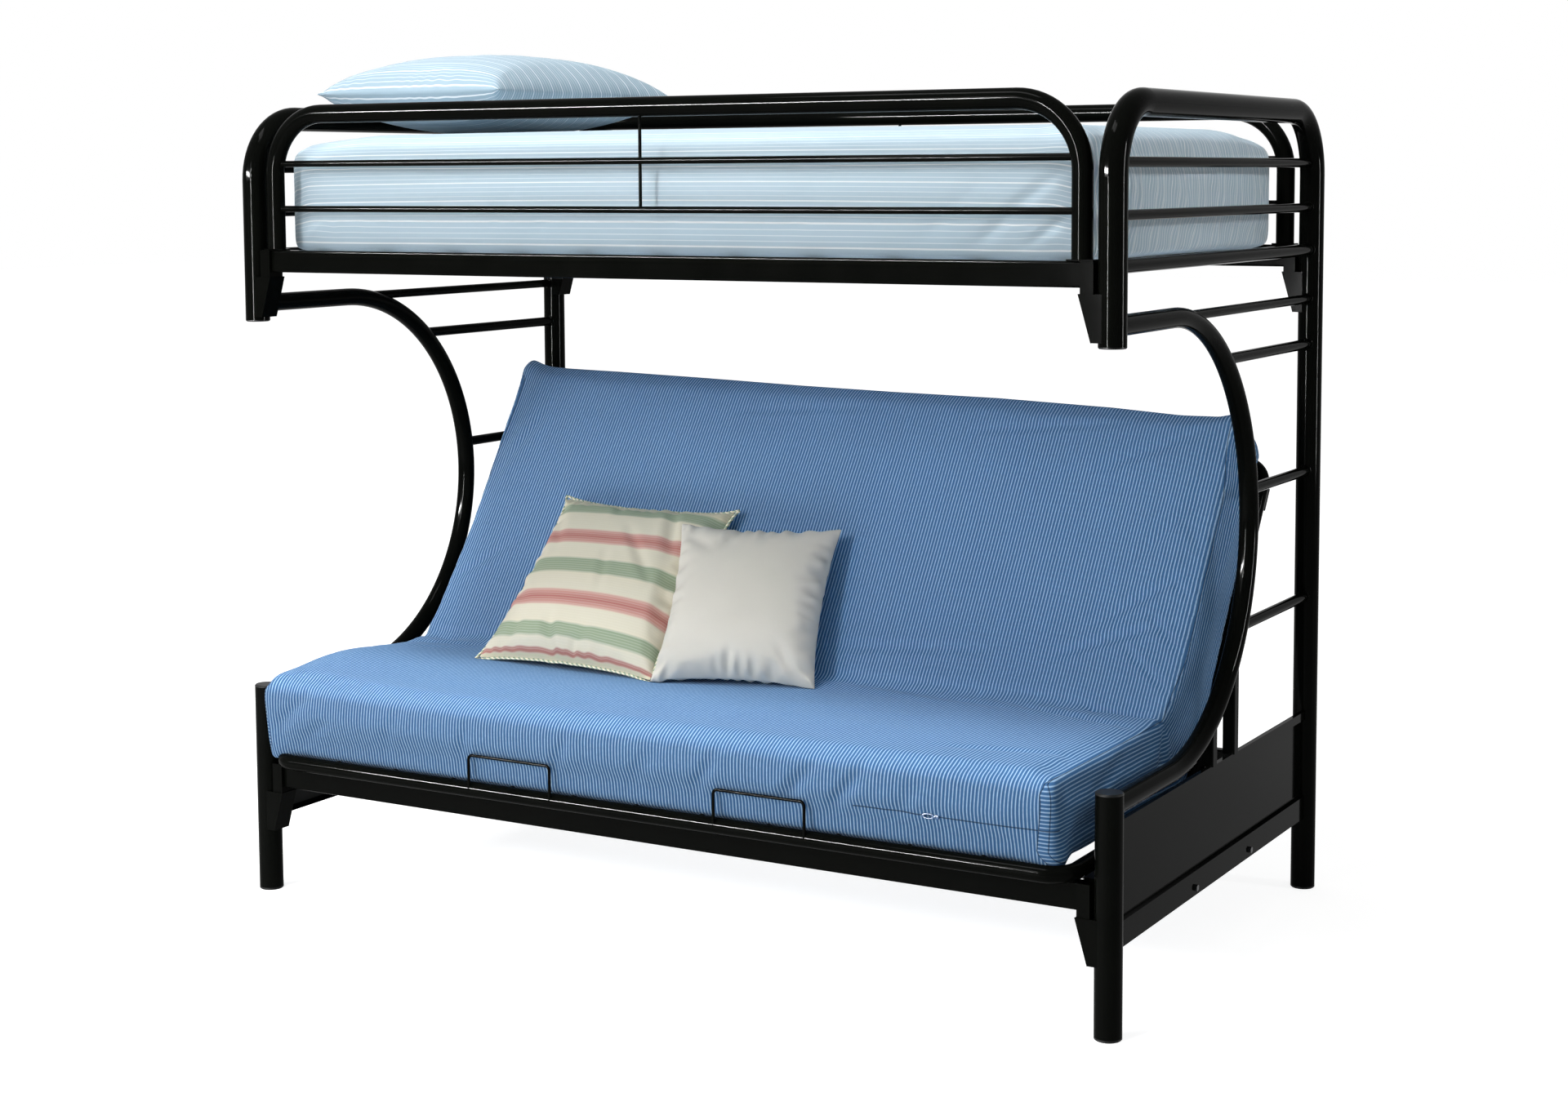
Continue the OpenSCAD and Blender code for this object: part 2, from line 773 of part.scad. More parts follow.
// The futon mattress is one piece that bends at the hinge line, made here as its two halves
module futon_half(length, lip) {
    translate([-futon_shift, 0, soft_low])
        soft_block(futon_x, length, futon_t, under_round, edge_round, futon_corner, futon_crown, futon_bulge,
            fold_lean, soft_low + 2 * rest_gap, lip);
}

module futon_mattress_seat() {
    color(futon_blue) on_seat() futon_half(seat_soft_y, front_lip);
}

module futon_mattress_back() {
    color(futon_blue) on_back() futon_half(back_soft_y, 0);
}

// A pillow: two crowned faces that meet in a drawn-in outline with full corners
pillow_steps = 16;
plump_share = 0.42;

function pillow_point(i, j, w, l, rise, drawn) = let (
    u = 2 * i / pillow_steps - 1,
    v = 2 * j / pillow_steps - 1,
    su = sin(90 * u),
    sv = sin(90 * v))
    [w / 2 * su * (1 - drawn * (1 - sv * sv) * su * su),
     l / 2 * sv * (1 - drawn * (1 - su * su) * sv * sv),
     rise * pow((1 - su * su) * (1 - sv * sv), plump_share)];

function rim(i, j) = i == 0 || j == 0 || i == pillow_steps || j == pillow_steps;
function top_index(i, j) = i * (pillow_steps + 1) + j;
function low_index(i, j) = rim(i, j) ? top_index(i, j)
    : (pillow_steps + 1) * (pillow_steps + 1) + (i - 1) * (pillow_steps - 1) + j - 1;

// The two triangles of one cell, cut so that every corner keeps its own inner point
function cell(a, b, c, d, even) = even ? [[a, d, b], [a, c, d]] : [[a, c, b], [b, c, d]];

module pillow(w, l, t, drawn) {
    n = pillow_steps;
    half = n / 2;
    polyhedron(
        points = concat(
            [for (i = [0:n]) for (j = [0:n]) pillow_point(i, j, w, l, t / 2, drawn)],
            [for (i = [1:n - 1]) for (j = [1:n - 1]) pillow_point(i, j, w, l, -t / 2, drawn)]),
        faces = concat(
            [for (i = [0:n - 1]) for (j = [0:n - 1])
                each cell(top_index(i, j), top_index(i + 1, j), top_index(i, j + 1), top_index(i + 1, j + 1),
                    (i < half) == (j < half))],
            [for (i = [0:n - 1]) for (j = [0:n - 1])
                each [for (f = cell(low_index(i, j), low_index(i + 1, j), low_index(i, j + 1),
                    low_index(i + 1, j + 1), (i < half) == (j < half))) [f[0], f[2], f[1]]]]));
}

pillow_over = 5;
pillow_x = pillow_w / 2 - pillow_over - bunk_mattress_x / 2 - bunk_shift;
pillow_y = -50;
pillow_drawn = 0.05;

// How far the crown of the upper mattress rises at a place
function bunk_crown_at(x, y) = let (u = 2 * (x + bunk_shift) / bunk_mattress_x, v = 2 * y / bunk_mattress_y)
    bunk_crown * (1 - u * u) * (1 - v * v);

module bed_pillow() {
    low = bunk_soft_z + bunk_mattress_t + bunk_crown_at(pillow_x, pillow_y) + 2 * rest_gap;
    color(sheet_blue) on_bed() translate([pillow_x, pillow_y, low + pillow_t / 2])
        pillow(pillow_w, pillow_l, pillow_t, pillow_drawn);
}

// Throw cushions lean on the back, and their lower corners have sunk a little way to the
// height where they meet the seat, so that they stand close over it. Places are
// measured from the hinge: along the bed, up the back and out from the back.
throw_drawn = 0.07;
throw_room = 0.8;
throw_sink = 1.3;
throw_out = soft_low + futon_t + futon_crown + throw_room + throw_t / 2;
striped_inset = 502;
striped_x = striped_inset - futon_x / 2 - futon_shift;
striped_turn = -1;
striped_tilt = -12;
striped_out = 15;
plain_step = 378;
plain_x = striped_x + plain_step;
plain_turn = 8.5;
plain_tilt = -4;
plain_roll = 12;
plain_out = 30;

// How far up the back the top of the seat's crown lies, at a distance out from the back
function seat_line(out) = (soft_low + futon_t + futon_crown - out * cos(sofa_angle)) / sin(sofa_angle);

// The place up the back at which the lower one of a cushion's corners meets the seat
function standing(w, h, turn, tilt, roll, out) = -throw_sink + max([for (side = [-1, 1])
    let (x = side * w / 2 * cos(turn) + h / 2 * sin(turn), y = side * w / 2 * sin(turn) - h / 2 * cos(turn))
    seat_line(out + y * sin(tilt) * cos(roll) - x * sin(roll)) - y * cos(tilt)]);

module throw_cushion(w, h, x, turn, tilt, roll, out) {
    on_back() translate([x, standing(w, h, turn, tilt, roll, out), out])
        rotate([tilt, roll, 0]) rotate([0, 0, turn]) pillow(w, h, throw_t, throw_drawn);
}

module striped_cushion() {
    color(cream) throw_cushion(striped_w, striped_h, striped_x, striped_turn, striped_tilt, 0,
        throw_out + striped_out);
}

// The plain cushion lies with one edge over the striped one
module plain_cushion() {
    color(off_white) throw_cushion(plain_w, plain_h, plain_x, plain_turn, plain_tilt, plain_roll,
        throw_out + plain_out);
}

// Futon frame. Both halves are drawn with the hinge axis on x and +y leading away from it
frame_start = 22;
cross_y = 40;

module loop_bar(span, reach, diameter, extra) {
    both_sides() {
        translate([span / 2, 0, 0]) bar_y(diameter, frame_start - extra, reach - futon_bend);
        translate([span / 2 - futon_bend, reach - futon_bend, 0])
            rotate_extrude(angle = 90) translate([futon_bend, 0]) circle(d = diameter);
    }
    translate([0, reach, 0]) bar_x(diameter, span - 2 * futon_bend);
}

module cross_bar(span, diameter) {
    translate([0, cross_y, 0]) bar_x(diameter, span);
}

module futon_loop(span, reach) {
    color(black) {
        difference() {
            loop_bar(span, reach, futon_d, 0);
            loop_bar(span, reach, futon_d - 2 * futon_wall, over);
        }
        difference() {
            cross_bar(span, cross_d);
            cross_bar(span + 2 * over, cross_d - 2 * rung_wall);
            loop_bar(span, reach, futon_d, 0);
        }
    }
}

module futon_slat_set(span, reach) {
    pitch = (span - futon_d) / (futon_slats + 1);
    slat_z = deck_top - futon_slat_d / 2;
    color(satin_black) difference() {
        for (i = [1:futon_slats])
            translate([i * pitch - (span - futon_d) / 2, 0, slat_z]) bar_y(futon_slat_d, cross_y, reach);
        loop_bar(span, reach, futon_d, 0);
        cross_bar(span, cross_d);
    }
}

// Hinge plates: a bar with a round eye, welded along the inner side of each side tube
plate_len = 130;
plate_bite = 1;
seat_plate_x = futon_span / 2 - futon_d / 2 - hinge_t / 2 + plate_bite;

module hinge_plate(x, span, reach) {
    both_sides() difference() {
        translate([x - hinge_t / 2, 0, 0]) union() {
            rotate([0, 90, 0]) cylinder(d = hinge_h, h = hinge_t);
            translate([0, 0, -hinge_h / 2]) cube([hinge_t, plate_len, hinge_h]);
        }
        translate([x, 0, 0]) bar_x(pin_d + 2 * pin_gap, hinge_t + 2 * over);
        loop_bar(span, reach, futon_d, 0);
        cross_bar(span, cross_d);
    }
}

module seat_hinge_plates() {
    color(black) on_seat() hinge_plate(seat_plate_x, futon_span, seat_reach);
}

module back_hinge_plates() {
    color(black) on_back() hinge_plate(seat_plate_x - hinge_t - plate_gap, back_span, back_reach);
}

pin_head_d = 18;
pin_head_t = 3;
pin_play = 0.2;

module hinge_pins() {
    outer = seat_plate_x + hinge_t / 2 + pin_play;
    inner = outer - 2 * hinge_t - plate_gap - 2 * pin_play;
    color(zinc) on_seat() both_sides() {
        translate([inner - over, 0, 0]) rotate([0, 90, 0]) cylinder(d = pin_d, h = outer - inner + 2 * over);
        for (x = [outer, inner - pin_head_t])
            translate([x, 0, 0]) rotate([0, 90, 0]) cylinder(d = pin_head_d, h = pin_head_t);
    }
}

// Plastic glides: saddles under the side tubes that run on the tracks
glide_l = 50;
glide_w = 26;
glide_seat = 6;
track_margin = 20;
rear_glide_y = 70;
front_glide_y = hinge_y + half_y - track_end_gap - glide_l / 2 - slide_out - track_margin;
seat_glide_ys = [rear_glide_y, front_glide_y];
back_glide_end = 72;
back_glide_step = 350;
back_glide_y = back_reach - back_glide_end;
back_glide_ys = [back_glide_y - back_glide_step, back_glide_y];

module glides(span, reach, places) {
    color(satin_black) both_sides() difference() {
        for (y = places)
            translate([span / 2 - glide_w / 2, y - glide_l / 2, -deck_top - glide_t])
                cube([glide_w, glide_l, glide_t + glide_seat]);
        loop_bar(span, reach, futon_d, 0);
    }
}

// Bent wire loops that keep the mattress from creeping off the front tube
retainer_bend = 9;
retainer_set = 12.4;

module retainer() {
    half = retainer_w / 2;
    top = deck_top + retainer_h - retainer_d / 2;
    both_sides() {
        translate([half, 0, 0]) cylinder(d = retainer_d, h = top - retainer_bend);
        translate([half - retainer_bend, 0, top - retainer_bend]) bend_xz(retainer_bend, retainer_d);
    }
    translate([0, 0, top]) bar_x(retainer_d, 2 * (half - retainer_bend));
}

module mattress_retainers() {
    color(black) on_seat() difference() {
        for (side = [-1, 1])
            translate([side * retainer_x, seat_reach + retainer_set, 0]) retainer();
        loop_bar(futon_span, seat_reach, futon_d, 0);
    }
}

on_end(-1) end_hoop();  // left_end_hoop
on_end(1) end_hoop();  // right_end_hoop
on_end(-1) front_leg();  // left_front_leg
on_end(1) front_leg();  // right_front_leg
on_end(-1) c_tube();  // left_c_tube
on_end(1) c_tube();  // right_c_tube
on_end(-1) end_rungs();  // left_end_rungs
on_end(1) end_rungs();  // right_end_rungs
on_end(-1) ladder();  // left_ladder_rungs
on_end(1) ladder();  // right_ladder_rungs
on_end(-1) end_panel();  // left_end_panel
on_end(1) end_panel();  // right_end_panel
on_end(-1) uprights();  // left_uprights
on_end(1) uprights();  // right_uprights
on_end(-1) seat_track();  // left_seat_track
on_end(1) seat_track();  // right_seat_track
track_bolts();
track_nuts();
foot_plugs();
leg_caps();
hoop_plugs();
rail_at(-1, upper_rail_z, upper_rail_h);  // upper_front_rail
rail_at(1, upper_rail_z, upper_rail_h);  // upper_rear_rail
rail_at(-1, lower_rail_z, lower_rail_h);  // lower_front_rail
rail_at(1, lower_rail_z, lower_rail_h);  // lower_rear_rail
rail_pockets(upper_rail_z);  // upper_rail_pockets
rail_pockets(lower_rail_z);  // lower_rail_pockets
guard_tube(-1);  // front_guard_tube
guard_tube(1);  // rear_guard_tube
guard_rods(-1);  // front_guard_rods
guard_rods(1);  // rear_guard_rods
deck_slats_set();
upper_mattress();
bed_pillow();
on_seat() futon_loop(futon_span, seat_reach);  // seat_frame
on_seat() futon_slat_set(futon_span, seat_reach);  // seat_slats
seat_hinge_plates();
on_seat() glides(futon_span, seat_reach, seat_glide_ys);  // seat_glides
mattress_retainers();
hinge_pins();
futon_mattress_seat();
on_back() futon_loop(back_span, back_reach);  // back_frame
on_back() futon_slat_set(back_span, back_reach);  // back_slats
back_hinge_plates();
on_back() glides(back_span, back_reach, back_glide_ys);  // back_glides
futon_mattress_back();
striped_cushion();
plain_cushion();
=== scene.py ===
import json
import math

import bmesh
import bpy
import numpy as np
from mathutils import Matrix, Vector
from mathutils.bvhtree import BVHTree


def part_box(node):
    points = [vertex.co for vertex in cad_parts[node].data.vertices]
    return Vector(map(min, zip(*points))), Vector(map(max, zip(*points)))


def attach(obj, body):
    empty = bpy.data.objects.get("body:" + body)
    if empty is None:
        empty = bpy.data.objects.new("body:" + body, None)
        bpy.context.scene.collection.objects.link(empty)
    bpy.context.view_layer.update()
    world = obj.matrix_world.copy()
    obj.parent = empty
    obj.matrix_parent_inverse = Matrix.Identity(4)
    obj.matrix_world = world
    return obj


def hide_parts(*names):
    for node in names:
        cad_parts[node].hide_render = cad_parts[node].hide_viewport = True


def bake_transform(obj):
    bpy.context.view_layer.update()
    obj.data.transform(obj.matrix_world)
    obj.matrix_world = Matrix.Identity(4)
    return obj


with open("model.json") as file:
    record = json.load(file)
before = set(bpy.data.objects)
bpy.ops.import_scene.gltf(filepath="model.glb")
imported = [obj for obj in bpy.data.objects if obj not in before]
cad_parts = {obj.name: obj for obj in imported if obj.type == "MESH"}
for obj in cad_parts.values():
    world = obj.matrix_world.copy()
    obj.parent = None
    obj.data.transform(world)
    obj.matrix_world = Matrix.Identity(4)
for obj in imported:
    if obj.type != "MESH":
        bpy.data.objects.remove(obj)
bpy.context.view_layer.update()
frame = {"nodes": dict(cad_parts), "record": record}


# The eye: a short telephoto at a standing person's eye height, to the right of the bed's
# front. The frame is 1920 by 1361 and the lens is shifted a little to hold both bunks.
bpy.ops.object.camera_add(
    location=(2.591, -4.460, 1.517),
    rotation=(math.radians(90 - 5.151), math.radians(0.299), math.radians(29.986)))
camera = bpy.context.object
camera.data.sensor_width = 36
camera.data.lens = 56.67
camera.data.shift_y = -0.10
bpy.context.scene.camera = camera
bpy.context.scene.view_settings.view_transform = "Standard"


# Colours are written as sRGB hex, and Blender's sockets take them as linear light.
def linear(hex_colour):
    parts = [int(hex_colour[i:i + 2], 16) / 255 for i in (1, 3, 5)]
    return [p / 12.92 if p < 0.04045 else ((p + 0.055) / 1.055) ** 2.4 for p in parts] + [1]


# Each input of a node is either linked or set to a value.
def feed(tree, node, inputs):
    for name, value in inputs.items():
        if isinstance(value, bpy.types.NodeSocket):
            tree.links.new(value, node.inputs[name])
        else:
            node.inputs[name].default_value = value


def add(tree, kind, inputs=None, **settings):
    made = tree.nodes.new("ShaderNode" + kind)
    for name, value in settings.items():
        setattr(made, name, value)
    feed(tree, made, inputs or {})
    return made


def new_material(name):
    material = bpy.data.materials.new(name)
    material.use_nodes = True
    tree = material.node_tree
    return material, tree, tree.nodes["Principled BSDF"]


# The studio: a wide sheet of white paper on the floor, under a white room. What the eye
# and the gloss see is white, and the light itself stays at a plain level.
def seen_directly(tree):
    ray = add(tree, "LightPath").outputs
    seen = add(tree, "Math", {0: ray["Is Camera Ray"], 1: ray["Is Glossy Ray"]}, operation="MAXIMUM")
    clear = add(tree, "Math", {0: seen.outputs[0], 1: ray["Is Transmission Ray"]}, operation="MAXIMUM")
    return clear.outputs[0]


bpy.ops.mesh.primitive_plane_add(size=60, location=(0, 0, 0))
floor = bpy.context.object
floor.name = "floor"
paper, paper_tree, paper_shader = new_material("white_paper_floor")
paper_lift = add(paper_tree, "Math", {0: seen_directly(paper_tree), 1: 0.82}, operation="MULTIPLY")
feed(paper_tree, paper_shader, {"Base Color": linear("#b0b0ae"), "Roughness": 0.9,
    "Emission Color": linear("#ffffff"), "Emission Strength": paper_lift.outputs[0]})
floor.data.materials.append(paper)

room = bpy.data.worlds.new("white_room")
bpy.context.scene.world = room
room.use_nodes = True
room_tree = room.node_tree
room_level = add(room_tree, "MapRange",
    {"Value": seen_directly(room_tree), "To Min": 0.32, "To Max": 1.0}).outputs[0]
feed(room_tree, room_tree.nodes["Background"], {"Color": linear("#ffffff"), "Strength": room_level})


# Lamps: name, place, what it points at, width, height, power, spread in degrees, and what it
# serves. A tall key left of the eye and a big soft box over the front light everything, a
# gridded fill lifts the cloth at the right end, and three bare strips serve the gloss alone.
for name, place, aim, width, height, power, spread, serves in (
        ("key", (-1.3, -4.6, 2.7), (0, 0, 0.9), 0.5, 1.4, 88, 180, "both"),
        ("top", (-1.0, -2.5, 6.6), (0, -0.4, 0.7), 3.2, 1.2, 372, 180, "both"),
        ("fill", (5.0, 0.8, 2.4), (0.95, 0.05, 1.45), 0.5, 0.5, 1.1, 25, "cloth"),
        ("left_glint", (-3.0, -5.2, 2.4), (0, 0, 1.2), 2.8, 0.3, 7500, 180, "gloss"),
        ("front_glint", (-0.70, -5.2, 1.7), (0, 0, 0.9), 0.12, 2.4, 1700, 180, "gloss"),
        ("right_glint", (5.0, 0.9, 1.6), (0.9, 0, 0.9), 0.2, 2.4, 600, 180, "gloss")):
    bpy.ops.object.light_add(type="AREA", location=place)
    lamp = bpy.context.object
    lamp.name = name
    lamp.data.shape = "RECTANGLE"
    lamp.data.size = width
    lamp.data.size_y = height
    lamp.data.energy = power
    lamp.data.spread = math.radians(spread)
    lamp.visible_diffuse = serves != "gloss"
    lamp.visible_glossy = serves != "cloth"
    lamp.rotation_euler = (Vector(aim) - Vector(place)).to_track_quat("-Z", "Y").to_euler()


# Gloss black enamel: baked powder on bent steel tube. The film is thick, so it mirrors the
# lamps as long clear streaks, with a faint orange peel and a slight green cast in the black.
def wear_material(node_names, material):
    for name in node_names:
        mesh = frame["nodes"][name].data
        mesh.materials.clear()
        mesh.materials.append(material)


def enamel(name, dark, light, gloss_low, gloss_high, peel_depth):
    material, tree, shader = new_material(name)
    place = add(tree, "TexCoord").outputs["Object"]
    cloud = add(tree, "TexNoise", {"Vector": place, "Scale": 1 / 0.09, "Detail": 3.0}).outputs["Fac"]
    tone = add(tree, "Mix", {0: cloud, 6: linear(dark), 7: linear(light)}, data_type="RGBA")
    gloss = add(tree, "MapRange", {"Value": cloud, "To Min": gloss_low, "To Max": gloss_high})
    peel = add(tree, "TexNoise", {"Vector": place, "Scale": 1 / 0.006, "Detail": 1.0})
    bump = add(tree, "Bump", {"Height": peel.outputs["Fac"], "Strength": 1.0, "Distance": peel_depth})
    feed(tree, shader,
        {"Base Color": tone.outputs[2], "Roughness": gloss.outputs[0], "Normal": bump.outputs[0]})
    return material, shader


def nodes_of(slot):
    return [row["node"] for row in frame["record"]["subparts"] if row["material_slot"] == slot]


gloss_enamel, gloss_shader = enamel("gloss_black_enamel", "#050605", "#0b0c0a", 0.06, 0.11, 0.00001)
gloss_shader.inputs["IOR"].default_value = 1.055
wear_material(nodes_of("gloss_black_enamel"), gloss_enamel)


# Satin black enamel on the parts that are out of sight: the slats, the deck and the tracks.
satin_enamel, satin_shader = enamel("satin_black_enamel", "#0b0c0c", "#131514", 0.32, 0.45, 0.00004)
satin_shader.inputs["IOR"].default_value = 1.12
wear_material(nodes_of("satin_black_enamel"), satin_enamel)


# Plugs, caps and glides: moulded black polyethylene, pressed into the tube ends. The mould
# leaves a fine matt grain, and handling has polished it in places.
moulded_plastic, plastic_shader = enamel("moulded_black_polyethylene",
    "#0b0c0c", "#161717", 0.30, 0.48, 0.00005)
plastic_shader.inputs["IOR"].default_value = 1.15
wear_material(nodes_of("black_plastic"), moulded_plastic)


# Bolts, nuts and pins: machine screws in black oxide, and nuts and hinge pins in bright zinc.
# Both are bare metal under a thin film, so they mirror softly and unevenly.
for slot, name, dark, light, gloss_low, gloss_high in (
        ("black_oxide_steel", "black_oxide_steel", "#17181a", "#2a2b2d", 0.28, 0.42),
        ("zinc_plated_steel", "bright_zinc_plate", "#a5a8ab", "#c9ccce", 0.26, 0.40)):
    plated_steel, plated_shader = enamel(name, dark, light, gloss_low, gloss_high, 0.00003)
    plated_shader.inputs["Metallic"].default_value = 1.0
    wear_material(nodes_of(slot), plated_steel)


# Welds: a small rippled bead round each end of the rungs, rods and C tubes, laid before the
# enamel. Each bead follows the round of the post that it sits on.
def points_of(piece):
    found = np.empty(len(piece.data.vertices) * 3)
    piece.data.vertices.foreach_get("co", found)
    return found.reshape(-1, 3)


def set_points(piece, points):
    piece.data.vertices.foreach_set("co", points.ravel())
    piece.data.update()


def smooth_shade(piece):
    piece.data.polygons.foreach_set("use_smooth", np.ones(len(piece.data.polygons), bool))


def join_pieces(name, pieces):
    bpy.ops.object.select_all(action="DESELECT")
    for piece in pieces:
        piece.select_set(True)
    bpy.context.view_layer.objects.active = pieces[0]
    bpy.ops.object.join()
    pieces[0].name = name
    return pieces[0]


def weld_bead(place, along_rung, rung_radius, post_radius):
    ring_radius = rung_radius + bead_radius * 0.5
    bpy.ops.mesh.primitive_torus_add(major_radius=ring_radius, minor_radius=bead_radius,
        major_segments=48, minor_segments=8)
    bead = bpy.context.object
    ring = points_of(bead)
    turn = np.arctan2(ring[:, 1], ring[:, 0])
    core = np.stack([np.cos(turn), np.sin(turn), turn * 0], 1) * ring_radius
    ripple = 1 + 0.20 * np.sin(turn * round(2 * math.pi * rung_radius / ripple_pitch))
    ring = core + (ring - core) * ripple[:, None]
    reach = np.minimum(np.abs(ring[:, 1]), post_radius)
    ring[:, 2] -= post_radius - np.sqrt(post_radius ** 2 - reach ** 2)
    along_post = np.array([0, 0, 1])
    axes = np.array([along_post, np.cross(along_rung, along_post), along_rung])
    set_points(bead, np.array(place) + ring @ axes)
    return bead


bead_radius, ripple_pitch = 0.0021, 0.0032
post_radius, c_tube_radius, guard_radius, rod_radius = 0.0254, 0.019, 0.019, 0.0064
end_x, front_post_y, rear_post_y = 0.965, -0.4914, 0.5329
guard_x, guard_sides = 0.8951, (-0.51675, 0.55825)
to_rear, to_front = (0, 1, 0), (0, -1, 0)
# Heights above the floor, and for the rungs their radii.
hoop_rungs = ((1.359, 0.0127), (1.447, 0.0095), (1.539, 0.0095))
ladder_rungs = ((0.629, 0.011), (0.896, 0.011), (1.163, 0.011), (1.257, 0.0095))
c_tube_ends = (0.416, 1.257)
guard_rods = (1.455, 1.5475)
beads = []
for end in (-end_x, end_x):
    for rung_z, rung_radius in hoop_rungs:
        beads.append(weld_bead((end, front_post_y, rung_z), to_rear, rung_radius, post_radius))
        beads.append(weld_bead((end, rear_post_y, rung_z), to_front, rung_radius, post_radius))
    for rung_z, rung_radius in ladder_rungs:
        beads.append(weld_bead((end, rear_post_y, rung_z), to_front, rung_radius, post_radius))
    for tube_z in c_tube_ends:
        beads.append(weld_bead((end, front_post_y, tube_z), to_rear, c_tube_radius, post_radius))
for guard_y in guard_sides:
    for rod_z in guard_rods:
        for end in (-guard_x, guard_x):
            inward = (-math.copysign(1, end), 0, 0)
            beads.append(weld_bead((end, guard_y, rod_z), inward, rod_radius, guard_radius))
welds = join_pieces("frame_weld_beads", beads)
welds.data.materials.append(gloss_enamel)
smooth_shade(welds)
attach(welds, "bunk_frame")


# Upper mattress: a twin foam mattress in a fitted sheet of striped percale. The stripes run
# the length of the bed, so they lie level on the long sides and hang down over the ends.
def merged_copy(name, *nodes):
    work = bmesh.new()
    for node in nodes:
        work.from_mesh(frame["nodes"][node].data)
    bmesh.ops.remove_doubles(work, verts=work.verts, dist=0.00002)
    mesh = bpy.data.meshes.new(name)
    work.to_mesh(mesh)
    work.free()
    piece = bpy.data.objects.new(name, mesh)
    bpy.context.collection.objects.link(piece)
    return piece


def normals_of(piece):
    piece.data.update()
    found = np.empty(len(piece.data.vertices) * 3)
    piece.data.vertex_normals.foreach_get("vector", found)
    return found.reshape(-1, 3)


def apply_modifiers(piece):
    bpy.ops.object.select_all(action="DESELECT")
    bpy.context.view_layer.objects.active = piece
    piece.select_set(True)
    for modifier in list(piece.modifiers):
        bpy.ops.object.modifier_apply(modifier=modifier.name)


def remesh(piece, voxel, smooth_steps):
    block = piece.modifiers.new("Remesh", "REMESH")
    block.mode = "VOXEL"
    block.voxel_size = voxel
    soften = piece.modifiers.new("Smooth", "SMOOTH")
    soften.factor = 0.5
    soften.iterations = smooth_steps
    apply_modifiers(piece)


# A short run of the cloth under pressure rounds a piece out. No point moves past the cap.
def pump(piece, pressure, frames, stretch, bend, cap):
    start = points_of(piece)
    cloth = piece.modifiers.new("Cloth", "CLOTH")
    fabric = cloth.settings
    fabric.quality = 5
    fabric.mass = 0.3
    fabric.air_damping = 2
    fabric.tension_stiffness = stretch
    fabric.compression_stiffness = stretch
    fabric.shear_stiffness = stretch / 3
    fabric.bending_stiffness = bend
    fabric.use_pressure = True
    fabric.uniform_pressure_force = pressure
    fabric.effector_weights.gravity = 0
    cloth.collision_settings.use_collision = False
    for step in range(1, frames + 1):
        bpy.context.scene.frame_set(step)
    shaped = piece.evaluated_get(bpy.context.evaluated_depsgraph_get())
    moved = points_of(shaped) - start
    length = np.linalg.norm(moved, axis=1, keepdims=True)
    moved *= np.tanh(length / cap) * cap / np.maximum(length, 1e-9)
    piece.modifiers.remove(cloth)
    bpy.context.scene.frame_set(1)
    set_points(piece, start + moved)


def subdivide(piece, levels):
    finer = piece.modifiers.new("Subdivision", "SUBSURF")
    finer.levels = levels
    finer.render_levels = levels
    apply_modifiers(piece)


# A fold runs from one point to another: a valley of a width and depth with a low swell
# on each side, which fades out at both ends.
def press_folds(piece, folds):
    points = points_of(piece)
    out = normals_of(piece)
    for start, end, width, depth in folds:
        start, end = np.array(start), np.array(end)
        along = end - start
        share = np.clip((points - start) @ along / (along @ along), 0, 1)
        away = np.linalg.norm(points - start - share[:, None] * along, axis=1) / width
        fade = np.sin(np.pi * np.clip(share, 0.02, 0.98)) ** 0.6
        push = depth * (1 - 1.2 * away ** 2) * np.exp(-away ** 2) * fade
        points -= out * push[:, None]
    set_points(piece, points)


def write_value(piece, name, values):
    layer = piece.data.attributes.new(name, "FLOAT", "POINT")
    layer.data.foreach_set("value", values.astype(np.float32))


# Lines of a width, a pitch apart, with soft edges: 1 on a line and 0 between them.
def line_mask(tree, across, pitch, width, soft):
    near = add(tree, "Math", {0: across, 1: pitch / 2}, operation="PINGPONG").outputs[0]
    mask = add(tree, "MapRange", {"Value": near, "From Min": width / 2 - soft,
        "From Max": width / 2 + soft, "To Min": 1.0, "To Max": 0.0}, interpolation_type="SMOOTHSTEP")
    return mask.outputs[0]


# The face of a plain weave: its colour, the bump of its threads and a dull finish.
def weave_cloth(tree, shader, colour, thread, specular):
    place = add(tree, "TexCoord").outputs["Object"]
    weave = add(tree, "TexNoise", {"Vector": place, "Scale": 1 / thread, "Detail": 2.0})
    bump = add(tree, "Bump", {"Height": weave.outputs["Fac"], "Strength": 0.5, "Distance": 0.0003})
    feed(tree, shader, {"Base Color": colour, "Normal": bump.outputs[0], "Roughness": 0.9,
        "Specular IOR Level": specular, "Sheen Weight": 0.05})


def ease(values, start, end):
    share = np.clip((values - start) / (end - start), 0, 1)
    return share * share * (3 - 2 * share)


# A pad's cover holds its edges squarer than the filling alone: where two faces meet, points
# that lie on a round of this reach move out towards the corner.
def square_edge(depth_a, way_a, depth_b, way_b, reach, power=4):
    a = np.clip(1 - depth_a / reach, 0, 1)
    b = np.clip(1 - depth_b / reach, 0, 1)
    grow = np.hypot(a, b) / np.maximum((a ** power + b ** power) ** (1 / power), 1e-6) - 1
    return reach * grow[:, None] * (a[:, None] * way_a + b[:, None] * way_b)


